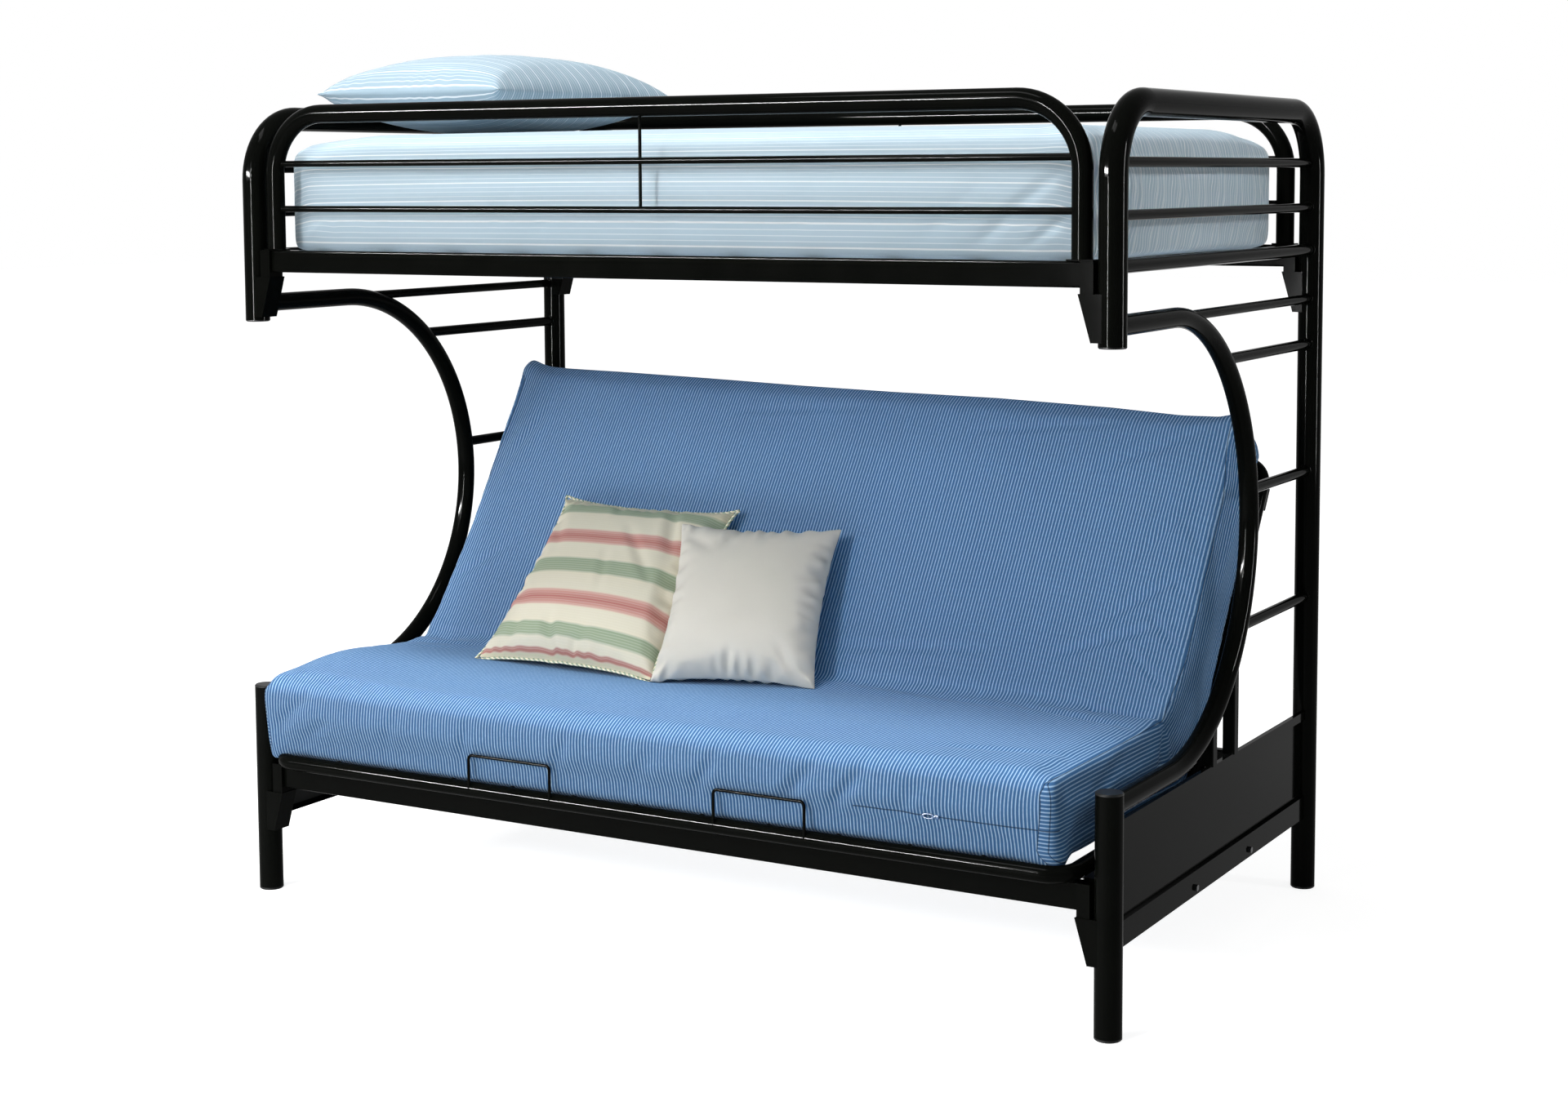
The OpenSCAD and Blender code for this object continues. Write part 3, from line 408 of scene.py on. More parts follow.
# The middle of the bed's depth lies a little to the rear of the shared frame's origin.
mid_y = 0.02075
mattress_low, mattress_high = (np.array(c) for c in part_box("upper_mattress"))
mattress = merged_copy("sheeted_mattress", "upper_mattress")
remesh(mattress, 0.015, 2)
pump(mattress, 3.0, 10, 15, 0.5, cap=0.005)
places = points_of(mattress)
low, high = places.min(0), places.max(0)
places = mattress_low + (places - low) * (mattress_high - mattress_low) / (high - low)
middle, half = (mattress_low + mattress_high) / 2, (mattress_high - mattress_low) / 2
side_way = np.sign(places - middle) * np.eye(3)[1]
end_way = np.sign(places - middle) * np.eye(3)[0]
from_middle = half - np.abs(places - middle)
places += square_edge(from_middle[:, 1], side_way, from_middle[:, 0], end_way, 0.06)

# The pad has slumped at its free corners, and the rear one at the right has sunk furthest.
height = (places[:, 2] - mattress_low[2]) / (mattress_high[2] - mattress_low[2])
left_sag = ease(-places[:, 0], 0.70, 0.93) * 0.020
rear_right_sag = ease(places[:, 0], 0.66, 0.90) * ease(places[:, 1], 0.30, 0.50) * 0.024
places[:, 2] -= (left_sag + rear_right_sag) * height ** 2
set_points(mattress, places)
subdivide(mattress, 1)

# The stripes run level down the sides and upright down the ends, where they wave a little.
places = points_of(mattress)
out = normals_of(mattress)
drop = mattress_high[2] - 0.010 - places[:, 2]
over_side = np.clip((np.abs(out[:, 1]) - 0.30) / 0.35, 0, 1) * (np.abs(out[:, 0]) < 0.75)
side = np.sign(places[:, 1] - mid_y)
waves = 0.0045 * np.sin(places[:, 2] * 38 + 3 * np.sin(places[:, 1] * 9))
waves += 0.0025 * np.sin(places[:, 2] * 90 + places[:, 1] * 60)
write_value(mattress, "across", places[:, 1] + side * drop * over_side + waves * np.abs(out[:, 0]))
write_value(mattress, "along", places[:, 0])
write_value(mattress, "over_end", ease(np.abs(out[:, 0]), 0.70, 0.80))
front_y = mattress_low[1] + 0.006
right_x = mattress_high[0] - 0.006
press_folds(mattress, [
    ((0.66, front_y, 1.375), (0.885, front_y, 1.56), 0.018, 0.0050),
    ((0.75, front_y, 1.370), (0.890, front_y, 1.47), 0.013, 0.0050),
    ((0.81, front_y, 1.362), (0.895, front_y, 1.42), 0.010, 0.0045),
    ((0.55, front_y, 1.385), (0.72, front_y, 1.53), 0.022, 0.0030),
    ((0.28, front_y, 1.385), (0.40, front_y, 1.55), 0.024, 0.0022),
    ((0.02, front_y, 1.39), (0.10, front_y, 1.53), 0.022, 0.0015),
    ((-0.42, front_y, 1.38), (-0.27, front_y, 1.56), 0.014, 0.0026),
    ((-0.30, front_y, 1.39), (-0.20, front_y, 1.50), 0.018, 0.0022),
    ((-0.75, front_y, 1.40), (-0.62, front_y, 1.55), 0.022, 0.0022),
    ((-0.915, front_y, 1.37), (-0.80, front_y, 1.47), 0.012, 0.0030),
    ((-0.915, front_y, 1.45), (-0.84, front_y, 1.56), 0.012, 0.0026),
    ((right_x, -0.30, 1.37), (right_x, -0.24, 1.57), 0.012, 0.0024),
    ((right_x, -0.40, 1.37), (right_x, -0.44, 1.55), 0.012, 0.0030),
    ((right_x, -0.05, 1.39), (right_x, 0.00, 1.58), 0.014, 0.0022),
    ((right_x, 0.18, 1.38), (right_x, 0.15, 1.56), 0.014, 0.0022),
    ((right_x, 0.38, 1.38), (right_x, 0.44, 1.54), 0.012, 0.0034),
    ((right_x, 0.46, 1.37), (right_x, 0.47, 1.50), 0.010, 0.0040),
    ((0.70, -0.30, 1.61), (0.90, -0.44, 1.60), 0.014, 0.0030),
    ((0.62, 0.20, 1.62), (0.90, 0.40, 1.60), 0.016, 0.0030),
    ((-0.70, -0.30, 1.62), (-0.90, -0.44, 1.60), 0.014, 0.0030),
])


def striped_percale(name, dark, light):
    material, tree, shader = new_material(name)
    across = add(tree, "Attribute", attribute_name="across").outputs["Fac"]
    place = add(tree, "TexCoord").outputs["Object"]
    broad = line_mask(tree, across, 0.036, 0.0026, 0.0005)
    fine = line_mask(tree, across, 0.009, 0.0015, 0.0005)
    # Seen along the end, the fine lines are drawn wider apart, or they would blur away.
    end_lines = line_mask(tree, across, 0.0135, 0.0040, 0.0008)
    over_end = add(tree, "Attribute", attribute_name="over_end").outputs["Fac"]
    fine = add(tree, "Mix", {0: over_end, 2: fine, 3: end_lines}, data_type="FLOAT").outputs[0]
    fine_faint = add(tree, "Math", {0: fine, 1: 0.6}, operation="MULTIPLY").outputs[0]
    lines = add(tree, "Math", {0: broad, 1: fine_faint}, operation="MAXIMUM").outputs[0]
    cloud = add(tree, "TexNoise", {"Vector": place, "Scale": 1 / 0.35, "Detail": 4.0}).outputs["Fac"]
    ground = add(tree, "Mix", {0: cloud, 6: linear(dark), 7: linear(light)}, data_type="RGBA")
    cloth = add(tree, "Mix", {0: lines, 6: ground.outputs[2], 7: linear("#e6ecf0")}, data_type="RGBA")
    weave_cloth(tree, shader, cloth.outputs[2], 0.0016, 0.03)
    return material


mattress.data.materials.append(striped_percale("striped_percale_cotton", "#a9c1cf", "#b7cbd8"))
smooth_shade(mattress)
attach(mattress, "bunk_frame")
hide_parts("upper_mattress")


# Bed pillow: a striped pillowcase over a full pillow, lying across the head of the bunk.
# It is cut flat and sewn round its edge, crowned, and then pumped until its cloth is taut.
def sewn_case(name, width, length, thickness, cells, pull, crown, pucker):
    bpy.ops.mesh.primitive_grid_add(x_subdivisions=cells, y_subdivisions=cells, size=1)
    case = bpy.context.object
    case.name = name
    case.scale = (width, length, 1)
    bpy.ops.object.transform_apply(location=False, rotation=False, scale=True)
    bpy.ops.object.mode_set(mode="EDIT")
    bpy.ops.mesh.select_all(action="SELECT")
    bpy.ops.mesh.extrude_region_move(TRANSFORM_OT_translate={"value": (0, 0, 0.004)})
    bpy.ops.mesh.select_all(action="SELECT")
    bpy.ops.mesh.normals_make_consistent(inside=False)
    bpy.ops.object.mode_set(mode="OBJECT")
    cut = points_of(case)
    u, v = cut[:, 0] * 2 / width, cut[:, 1] * 2 / length
    write_value(case, "across", cut[:, 1])
    write_value(case, "along", cut[:, 0])
    from_side_u, from_side_v = (1 - np.abs(u)) * width / 2, (1 - np.abs(v)) * length / 2
    from_seam = np.minimum(from_side_u, from_side_v)
    by_seam = np.where(from_side_u < from_side_v, cut[:, 1] + 0.7 * width, cut[:, 0])
    full = np.clip((1 - np.abs(u) ** crown) * (1 - np.abs(v) ** crown), 0, 1) ** 0.55
    gather_pitch = 0.034
    turns = by_seam * 2 * math.pi / gather_pitch + 2.2 * np.sin(by_seam * 31)
    gather = np.sin(turns) * np.sin(by_seam * 13 + 1)
    gather *= pucker * ease(from_seam, 0, 0.008) * np.exp(-(from_seam / 0.030) ** 2)
    upper = np.where(cut[:, 2] > 0.002, 1, -1)
    cut[:, 2] += upper * (full * thickness / 2 + gather)
    cut[:, 0] *= 1 - pull * (1 - v * v)
    cut[:, 1] *= 1 - pull * (1 - u * u)
    set_points(case, cut)
    return case


def fit_box(piece, size):
    points = points_of(piece)
    low, high = points.min(0), points.max(0)
    set_points(piece, (points - (low + high) / 2) * np.array(size) / (high - low))


def corners_of(node):
    cad = points_of(frame["nodes"][node])
    middle = (cad.min(0) + cad.max(0)) / 2
    away = np.linalg.norm(cad - middle, axis=1)
    found = []
    for index in np.argsort(-away):
        if all(np.linalg.norm(cad[index] - other) > 0.1 for other in found):
            found.append(cad[index])
        if len(found) == 4:
            break
    by_height = sorted(found, key=lambda p: p[2])
    low_left, low_right = sorted(by_height[:2], key=lambda p: p[0])
    high_left, high_right = sorted(by_height[2:], key=lambda p: p[0])
    return low_left, low_right, high_left, high_right


def lay_on_corners(piece, low_left, low_right, high_left, high_right):
    middle = (low_left + low_right + high_left + high_right) / 4
    right = low_right + high_right - low_left - high_left
    right /= np.linalg.norm(right)
    up = high_left + high_right - low_left - low_right
    up -= right * (up @ right)
    up /= np.linalg.norm(up)
    out = np.cross(right, up)
    points = points_of(piece)
    set_points(piece, middle + points @ np.array([right, up, out]))


pillow_low, pillow_high = (np.array(c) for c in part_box("bed_pillow"))
pillow_size = pillow_high - pillow_low
pillow = sewn_case("bed_pillow_case", *pillow_size, 56, 0.05, 2.6, 0.003)
pump(pillow, 4.0, 12, 30, 0.10, cap=0.010)
fit_box(pillow, pillow_size)
set_points(pillow, points_of(pillow) + (pillow_low + pillow_high) / 2)
subdivide(pillow, 1)
press_folds(pillow, [
    ((-0.66, 0.05, 1.78), (-0.62, -0.22, 1.75), 0.020, 0.0060),
    ((-0.64, -0.02, 1.78), (-0.50, 0.16, 1.75), 0.022, 0.0040),
    ((-0.72, -0.10, 1.78), (-0.84, -0.26, 1.74), 0.020, 0.0040),
    ((-0.60, 0.12, 1.78), (-0.52, 0.26, 1.74), 0.020, 0.0040),
])
# The pillowcase is the sheet's percale in darker colours: painted shade, standing in for less light
# falling on the pillow.
pillow.data.materials.append(striped_percale("striped_percale_pillowcase_painted_shade", "#93abb9", "#a1b6c4"))
smooth_shade(pillow)
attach(pillow, "bunk_frame")
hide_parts("bed_pillow")


# Futon mattress: one thick pad of foam and cotton in a zipped cover of blue pinstripe
# ticking. It bends at the hinge line, so it is one piece over both halves of the frame.
futon_low, futon_high = (np.array(c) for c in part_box("futon_mattress_seat"))
futon_mid_x = (futon_low[0] + futon_high[0]) / 2
half_length = (futon_high[0] - futon_low[0]) / 2
hinge = np.array([0, 0.05125, 0.2944])
lean = math.radians(55)
right_way, rear_way, up_way = (np.array(way) for way in ([1, 0, 0], [0, 1, 0], [0, 0, 1]))
back_up = np.array([0, math.cos(lean), math.sin(lean)])
back_out = np.array([0, -back_up[2], back_up[1]])
fold_way = (rear_way + back_up) / np.linalg.norm(rear_way + back_up)
# The pad's underside and top, off the planes through the hinge, and the back's reach up it.
pad_low, pad_high, pad_crown = 0.0162, 0.1772, 0.008
seat_top = pad_high + pad_crown
back_length = 0.800
back_top = back_length + 0.006


# Where points lie: up the back, off the back's plane, over the seat's plane, and on which half.
def lay_out(places):
    from_hinge = places - hinge
    return from_hinge @ back_up, from_hinge @ back_out, from_hinge[:, 2], from_hinge @ fold_way > 0


futon = merged_copy("futon_mattress", "futon_mattress_seat", "futon_mattress_back")
remesh(futon, 0.014, 2)
pump(futon, 3.0, 10, 15, 0.5, cap=0.006)

# The cover is filled to the size it was cut to.
places = points_of(futon)
up_back, off_back, off_seat, on_back = lay_out(places)
run = np.where(on_back, up_back, places[:, 1] - hinge[1])
stops = np.linspace(run.min() + 0.03, run.max() - 0.03, 20)
near = [np.abs(run - stop) < 0.03 for stop in stops]
right_reach = np.interp(run, stops, [places[there, 0].max() - futon_mid_x for there in near])
left_reach = np.interp(run, stops, [futon_mid_x - places[there, 0].min() for there in near])
reach = np.where(places[:, 0] > futon_mid_x, right_reach, left_reach)
places[:, 0] = futon_mid_x + (places[:, 0] - futon_mid_x) * np.clip(half_length / reach, 1.0, 1.045)
grow_front = places[:, 1].min() - futon_low[1]
places[:, 1] -= grow_front * ease(-places[:, 1], 0.25, 0.55) * ~on_back
grow_seat = futon_high[2] - places[~on_back, 2].max()
places[:, 2] += grow_seat * ease(off_seat, 0.06, 0.14) * ~on_back
grow_face = seat_top - off_back[on_back].max()
places += (grow_face * ease(off_back, 0.06, 0.14) * on_back)[:, None] * back_out
grow_up = back_top - up_back.max()
places += (grow_up * ease(up_back, 0.30, 0.75) * on_back)[:, None] * back_up

# Its end seams stand out as squarer edges than its filling has.
up_back, off_back, off_seat, on_back = lay_out(places)
from_end = half_length - np.abs(places[:, 0] - futon_mid_x)
end_way = np.sign(places[:, 0] - futon_mid_x)[:, None] * right_way
seat_depths = np.stack([seat_top - off_seat, off_seat - pad_low, places[:, 1] - futon_low[1]])
back_depths = np.stack([seat_top - off_back, off_back - pad_low, back_top - up_back])
seat_ways = np.array([up_way, -up_way, -rear_way])
back_ways = np.array([back_out, -back_out, back_up])
depths = np.where(on_back, back_depths, seat_depths)
nearest = depths.argmin(0)
face_way = np.where(on_back[:, None], back_ways[nearest], seat_ways[nearest])
places += square_edge(depths.min(0), face_way, from_end, end_way, 0.055, 5)

# Use has shaped the pad. Its top edge stands up at the left and has slumped at the right.
up_back, off_back, off_seat, on_back = lay_out(places)
top_line = np.interp(places[:, 0], [-0.93, -0.66, -0.42, -0.17, 0.07, 0.33, 0.60, 0.75, 0.89],
    [0.041, 0.036, 0.029, 0.020, 0.014, 0.010, -0.001, -0.012, -0.012])
places += (top_line * ease(up_back, 0.30, 0.78) * on_back)[:, None] * back_up

# The left top corner is pulled up to an ear, and the left end is fuller below it.
from_left = places[:, 0] - futon_low[0]
ear = np.exp(-((from_left / 0.05) ** 2 + ((up_back - 0.80) / 0.07) ** 2)) * on_back
spread = np.exp(-(from_left / 0.10) ** 2) * ease(up_back, 0.35, 0.72) * on_back
places += ear[:, None] * 0.012 * back_up - (spread * 0.018)[:, None] * right_way

# The top corner passes the rear post when the back lies flat, so it's narrower there.
post_clear = -0.957 + 0.019 * ease(up_back, 0.68, 0.75) * on_back
places[:, 0] = np.maximum(places[:, 0], post_clear)

# The front and the right end droop over the frame's tube, and the front tucks in below.
droop = ease(-(places[:, 1] - mid_y), 0.50, 0.585) * ease(0.36 - places[:, 2], 0.0, 0.05) * ~on_back
places[:, 2] -= droop * 0.010
end_droop = ease(places[:, 0], 0.915, 0.935) * ease(0.36 - places[:, 2], 0.0, 0.05) * ~on_back
places[:, 2] -= end_droop * 0.020
tuck = ease(0.455 - places[:, 2], 0.0, 0.13) * ease(-places[:, 1], 0.42, 0.56) * ~on_back
places[:, 1] += tuck * 0.008

# The right end of the back swells out between the fold and the top, and the fold is filled.
near_end = ease(0.06 - half_length + np.abs(places[:, 0] - futon_mid_x), 0.0, 0.05)
swell = near_end * on_back * (places[:, 0] > 0)
places[:, 0] += swell * 0.014 * ease(up_back, 0.02, 0.20) * (1 - ease(up_back, 0.62, 0.76))
in_fold = (off_back > pad_high - 0.03) * (off_seat > pad_high - 0.03)
fold_fill = np.clip(1 - np.abs(off_back - off_seat) / 0.07, 0, 1) ** 2 * in_fold
fill_way = (back_out + up_way) / 1.77
places += (0.012 * fold_fill)[:, None] * fill_way

# The seat has sunk under the cushions and where one sits, and stays full at its left end.
seat_face = (off_seat > 0.12) * (off_back > pad_high + 0.02)
for cushion, depth in (("striped_cushion", 0.010), ("plain_cushion", 0.009)):
    cushion_low, cushion_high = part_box(cushion)
    away = ((places[:, 0] - (cushion_low[0] + cushion_high[0]) / 2) / 0.26) ** 2
    away += ((places[:, 1] - cushion_low[1] - 0.03) / 0.13) ** 2
    places[:, 2] -= depth * np.exp(-away) * seat_face
away = ((places[:, 0] - 0.45) / 0.35) ** 2 + ((places[:, 1] + 0.25) / 0.16) ** 2
places[:, 2] -= 0.005 * np.exp(-away) * seat_face
away = ((places[:, 0] - futon_low[0]) / 0.20) ** 2 + ((places[:, 1] + 0.36) / 0.20) ** 2
places[:, 2] += 0.030 * np.exp(-away) * ease(off_seat, 0.08, 0.13) * ~on_back

# A loose flap of the underside sags over the back frame's end at the top right.
flap = ease(places[:, 0], 0.890, 0.925) * ease(up_back, 0.52, 0.62)
flap *= ease(pad_low + 0.05 - off_back, 0.0, 0.04)
places -= (0.036 * flap * on_back)[:, None] * back_out
set_points(futon, places)
subdivide(futon, 1)

# Distances that lay out the cover: how far a point is past the seam at the ends, where the
# panels meet at the edge itself, and on the front where the end panel wraps round the corner.
places = points_of(futon)
up_back, off_back, off_seat, on_back = lay_out(places)
in_seat = np.minimum.reduce([seat_top - off_seat, off_seat - pad_low, places[:, 1] - futon_low[1]])
in_back = np.minimum.reduce([seat_top - off_back, off_back - pad_low, back_length - up_back])
from_end = half_length - np.abs(places[:, 0] - futon_mid_x)
past_edge = np.where(on_back, in_back, in_seat) - from_end
front_face = ease(seat_top - off_seat, 0.014, 0.045) * ease(-places[:, 1], 0.50, 0.56) * ~on_back
seam_pull = 0.026 * on_back * (places[:, 0] > 0)
past_edge -= seam_pull * (1 - ease(up_back, 0.55, 0.74)) * ease(up_back, 0.10, 0.25)
write_value(futon, "past_edge", past_edge)
write_value(futon, "front_face", front_face)
write_value(futon, "past_wrap", past_edge + 0.022 * front_face * (places[:, 0] > 0))
write_value(futon, "along", places[:, 0])
write_value(futon, "height", np.where(on_back, off_back, off_seat))
zip_run = (front_face > 0.9) * (places[:, 0] > 0.48)
write_value(futon, "from_zip", np.where(zip_run, places[:, 2] - 0.373, 1.0))

# Folds are pressed into the front face, the seat's top, the back's face and the right end.
face_y = futon_low[1] + 0.006
futon_end = futon_high[0] - 0.003


def on_seat_top(x, y):
    return (x, y + mid_y, 0.474)


def on_back_face(x, up):
    spot = hinge + up * back_up + (pad_high + 0.006) * back_out
    return (x, spot[1], spot[2])


press_folds(futon, [
    ((0.30, face_y, 0.33), (0.42, face_y, 0.45), 0.020, 0.0060),
    ((0.42, face_y, 0.34), (0.52, face_y, 0.455), 0.018, 0.0060),
    ((0.40, face_y, 0.455), (0.52, face_y, 0.460), 0.009, 0.0060),
    ((0.56, face_y, 0.35), (0.64, face_y, 0.45), 0.022, 0.0036),
    ((0.12, face_y, 0.33), (0.20, face_y, 0.44), 0.018, 0.0045),
    ((-0.02, face_y, 0.34), (0.08, face_y, 0.45), 0.022, 0.0030),
    ((-0.20, face_y, 0.33), (-0.14, face_y, 0.44), 0.018, 0.0042),
    ((-0.42, face_y, 0.33), (-0.38, face_y, 0.44), 0.018, 0.0039),
    ((-0.62, face_y, 0.34), (-0.55, face_y, 0.45), 0.022, 0.0030),
    ((-0.90, face_y, 0.36), (-0.80, face_y, 0.45), 0.018, 0.0051),
    ((-0.86, face_y, 0.32), (-0.74, face_y, 0.40), 0.018, 0.0039),
    (on_seat_top(0.55, -0.08), on_seat_top(0.86, -0.16), 0.016, 0.0060),
    (on_seat_top(0.66, -0.05), on_seat_top(0.86, -0.08), 0.012, 0.0060),
    (on_seat_top(0.20, -0.07), on_seat_top(0.60, -0.12), 0.020, 0.0030),
    (on_seat_top(-0.90, -0.14), on_seat_top(-0.70, -0.08), 0.014, 0.0050),
    (on_seat_top(-0.88, -0.24), on_seat_top(-0.72, -0.12), 0.018, 0.0030),
    (on_seat_top(0.60, -0.48), on_seat_top(0.84, -0.42), 0.020, 0.0030),
    (on_back_face(0.62, 0.20), on_back_face(0.86, 0.30), 0.016, 0.0060),
    (on_back_face(0.70, 0.28), on_back_face(0.87, 0.42), 0.018, 0.0060),
    (on_back_face(0.74, 0.42), on_back_face(0.86, 0.60), 0.020, 0.0050),
    (on_back_face(0.60, 0.62), on_back_face(0.84, 0.74), 0.022, 0.0040),
    (on_back_face(0.30, 0.70), on_back_face(0.70, 0.745), 0.016, 0.0030),
    (on_back_face(-0.30, 0.72), on_back_face(0.10, 0.75), 0.016, 0.0022),
    (on_back_face(-0.90, 0.50), on_back_face(-0.80, 0.72), 0.018, 0.0040),
    (on_back_face(-0.90, 0.24), on_back_face(-0.78, 0.34), 0.016, 0.0040),
    (on_back_face(-0.60, 0.16), on_back_face(-0.30, 0.20), 0.020, 0.0024),
    (on_back_face(0.10, 0.17), on_back_face(0.50, 0.20), 0.018, 0.0030),
    (on_back_face(0.84, 0.66), on_back_face(0.93, 0.52), 0.016, 0.0100),
    (on_back_face(0.83, 0.52), on_back_face(0.93, 0.40), 0.016, 0.0100),
    (on_back_face(0.82, 0.40), on_back_face(0.93, 0.30), 0.014, 0.0090),
    (on_back_face(0.80, 0.31), on_back_face(0.92, 0.20), 0.014, 0.0090),
    (on_back_face(0.76, 0.24), on_back_face(0.90, 0.13), 0.012, 0.0070),
    ((futon_end, -0.42, 0.40), (futon_end, -0.20, 0.45), 0.016, 0.0040),
    ((futon_end, -0.50, 0.35), (futon_end, -0.30, 0.36), 0.020, 0.0030),
    ((futon_end, -0.12, 0.33), (futon_end, -0.02, 0.46), 0.018, 0.0060),
    ((0.62, face_y, 0.455), (0.70, face_y, 0.450), 0.008, 0.0045),
    ((0.48, face_y, 0.373), (0.62, face_y, 0.372), 0.010, 0.0024),
])


def pinstripe_ticking(name):
    material, tree, shader = new_material(name)
    past_edge, past_wrap, along, height, from_zip, front_face = (
        add(tree, "Attribute", attribute_name=layer).outputs["Fac"]
        for layer in ("past_edge", "past_wrap", "along", "height", "from_zip", "front_face"))
    place = add(tree, "TexCoord").outputs["Object"]
    on_end = add(tree, "Math", {0: past_wrap, 1: 0.0}, operation="GREATER_THAN").outputs[0]
    across = add(tree, "Mix", {0: on_end, 2: along, 3: height}, data_type="FLOAT").outputs[0]
    sway = add(tree, "TexNoise", {"Vector": place, "Scale": 1 / 0.16, "Detail": 1.0}).outputs["Fac"]
    swayed = add(tree, "Math", {0: sway, 1: 0.003, 2: across}, operation="MULTIPLY_ADD").outputs[0]
    stripe = line_mask(tree, swayed, 0.0072, 0.0024, 0.0007)
    cloud = add(tree, "TexNoise", {"Vector": place, "Scale": 1 / 0.30, "Detail": 4.0}).outputs["Fac"]
    ground = add(tree, "Mix", {0: cloud, 6: linear("#386698"), 7: linear("#4272a5")}, data_type="RGBA")
    slub = add(tree, "TexNoise", {"Vector": place, "Scale": 1 / 0.006, "Detail": 3.0}).outputs["Fac"]
    stripe_worn = add(tree, "MapRange", {"Value": slub, "From Min": 0.35, "From Max": 0.60,
        "To Min": 0.80, "To Max": 1.0}).outputs[0]
    stripe_seen = add(tree, "Math", {0: stripe, 1: stripe_worn}, operation="MULTIPLY").outputs[0]
    striped = add(tree, "Mix", {0: stripe_seen, 6: ground.outputs[2], 7: linear("#a8cdf0")},
        data_type="RGBA")
    # The front face is painted darker, as painted shade: its colour is multiplied down to stand in for
    # less light falling on it.
    striped = add(tree, "Mix", {0: front_face, 6: striped.outputs[2], 7: linear("#cacaca")},
        data_type="RGBA", blend_type="MULTIPLY")
    # Each seam is one line, so its pitch is wider than the bed.
    edge_seam = line_mask(tree, past_edge, 4.0, 0.0022, 0.0008)
    wrap_seam = line_mask(tree, past_wrap, 4.0, 0.0022, 0.0008)
    zip_seam = line_mask(tree, from_zip, 4.0, 0.0026, 0.0008)
    seams = add(tree, "Math", {0: edge_seam, 1: wrap_seam}, operation="MAXIMUM").outputs[0]
    seams = add(tree, "Math", {0: seams, 1: zip_seam}, operation="MAXIMUM").outputs[0]
    shade = add(tree, "Math", {0: seams, 1: 0.8}, operation="MULTIPLY").outputs[0]
    cloth = add(tree, "Mix", {0: shade, 6: striped.outputs[2], 7: linear("#16283f")}, data_type="RGBA")
    rib = add(tree, "Math", {0: stripe, 1: slub}, operation="ADD").outputs[0]
    relief = add(tree, "Math", {0: seams, 1: -3.0, 2: rib}, operation="MULTIPLY_ADD").outputs[0]
    bump = add(tree, "Bump", {"Height": relief, "Strength": 0.6, "Distance": 0.0008})
    feed(tree, shader, {"Base Color": cloth.outputs[2], "Normal": bump.outputs[0], "Roughness": 0.95,
        "Specular IOR Level": 0.03, "Sheen Weight": 0.15, "Sheen Roughness": 0.5,
        "Sheen Tint": linear("#9cc0ee")})
    return material


futon.data.materials.append(pinstripe_ticking("blue_pinstripe_ticking"))
smooth_shade(futon)
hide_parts("futon_mattress_seat", "futon_mattress_back")
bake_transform(futon)


# Zip slider: a small die-cast slider on the cover's zip, enamelled in the blue of the cloth.
# Its pull is a bent wire loop that lies along the teeth, on the front face of the pad.
def slider_block(size, middle, bevel):
    bpy.ops.mesh.primitive_cube_add(size=1, location=middle)
    block = bpy.context.object
    block.scale = size
    bpy.ops.object.transform_apply(location=True, rotation=False, scale=True)
    rounding = block.modifiers.new("Bevel", "BEVEL")
    rounding.width = bevel
    rounding.segments = 3
    apply_modifiers(block)
    return block


slider_x, slider_z = 0.658, 0.373
futon_tree = BVHTree.FromObject(futon, bpy.context.evaluated_depsgraph_get())
slider_y = futon_tree.ray_cast(Vector((slider_x, -1.0, slider_z)), Vector((0, 1, 0)))[0].y
bpy.ops.mesh.primitive_torus_add(location=(slider_x - 0.017, slider_y - 0.0030, slider_z),
    rotation=(math.radians(90), 0, 0), major_radius=0.0042, minor_radius=0.0010,
    major_segments=28, minor_segments=8)
pull = bpy.context.object
pull.scale = (2.6, 1, 1)
bpy.ops.object.transform_apply(location=True, rotation=True, scale=True)
body = slider_block((0.009, 0.0040, 0.0075), (slider_x, slider_y - 0.0022, slider_z), 0.0012)
bridge = slider_block((0.0035, 0.0026, 0.0036), (slider_x - 0.003, slider_y - 0.0045, slider_z), 0.0008)
slider = join_pieces("zip_slider", [body, bridge, pull])
slider_enamel, slider_shader = enamel("blue_enamelled_zinc", "#27486f", "#3a6192", 0.28, 0.40, 0.00002)
slider_shader.inputs["IOR"].default_value = 1.3
slider.data.materials.append(slider_enamel)
smooth_shade(slider)
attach(slider, "futon_seat")


# Throw cushions: feather fillings in sewn cases. The striped one has a twisted cord in its
# seam, and the plain one a knife edge. Each is moved out of what it rests on, by a small gap.
def rest_clear(piece, supports, gap):
    for support in supports:
        tree = BVHTree.FromObject(support, bpy.context.evaluated_depsgraph_get())
        for _ in range(3):
            points = points_of(piece)
            for index, point in enumerate(points):
                place, out, _, away = tree.find_nearest(Vector(point), 0.09)
                if place is not None:
                    deep = (Vector(point) - place).dot(out)
                    if deep < gap:
                        points[index] = np.array(point) + np.array(out) * (gap - deep)
            set_points(piece, points)


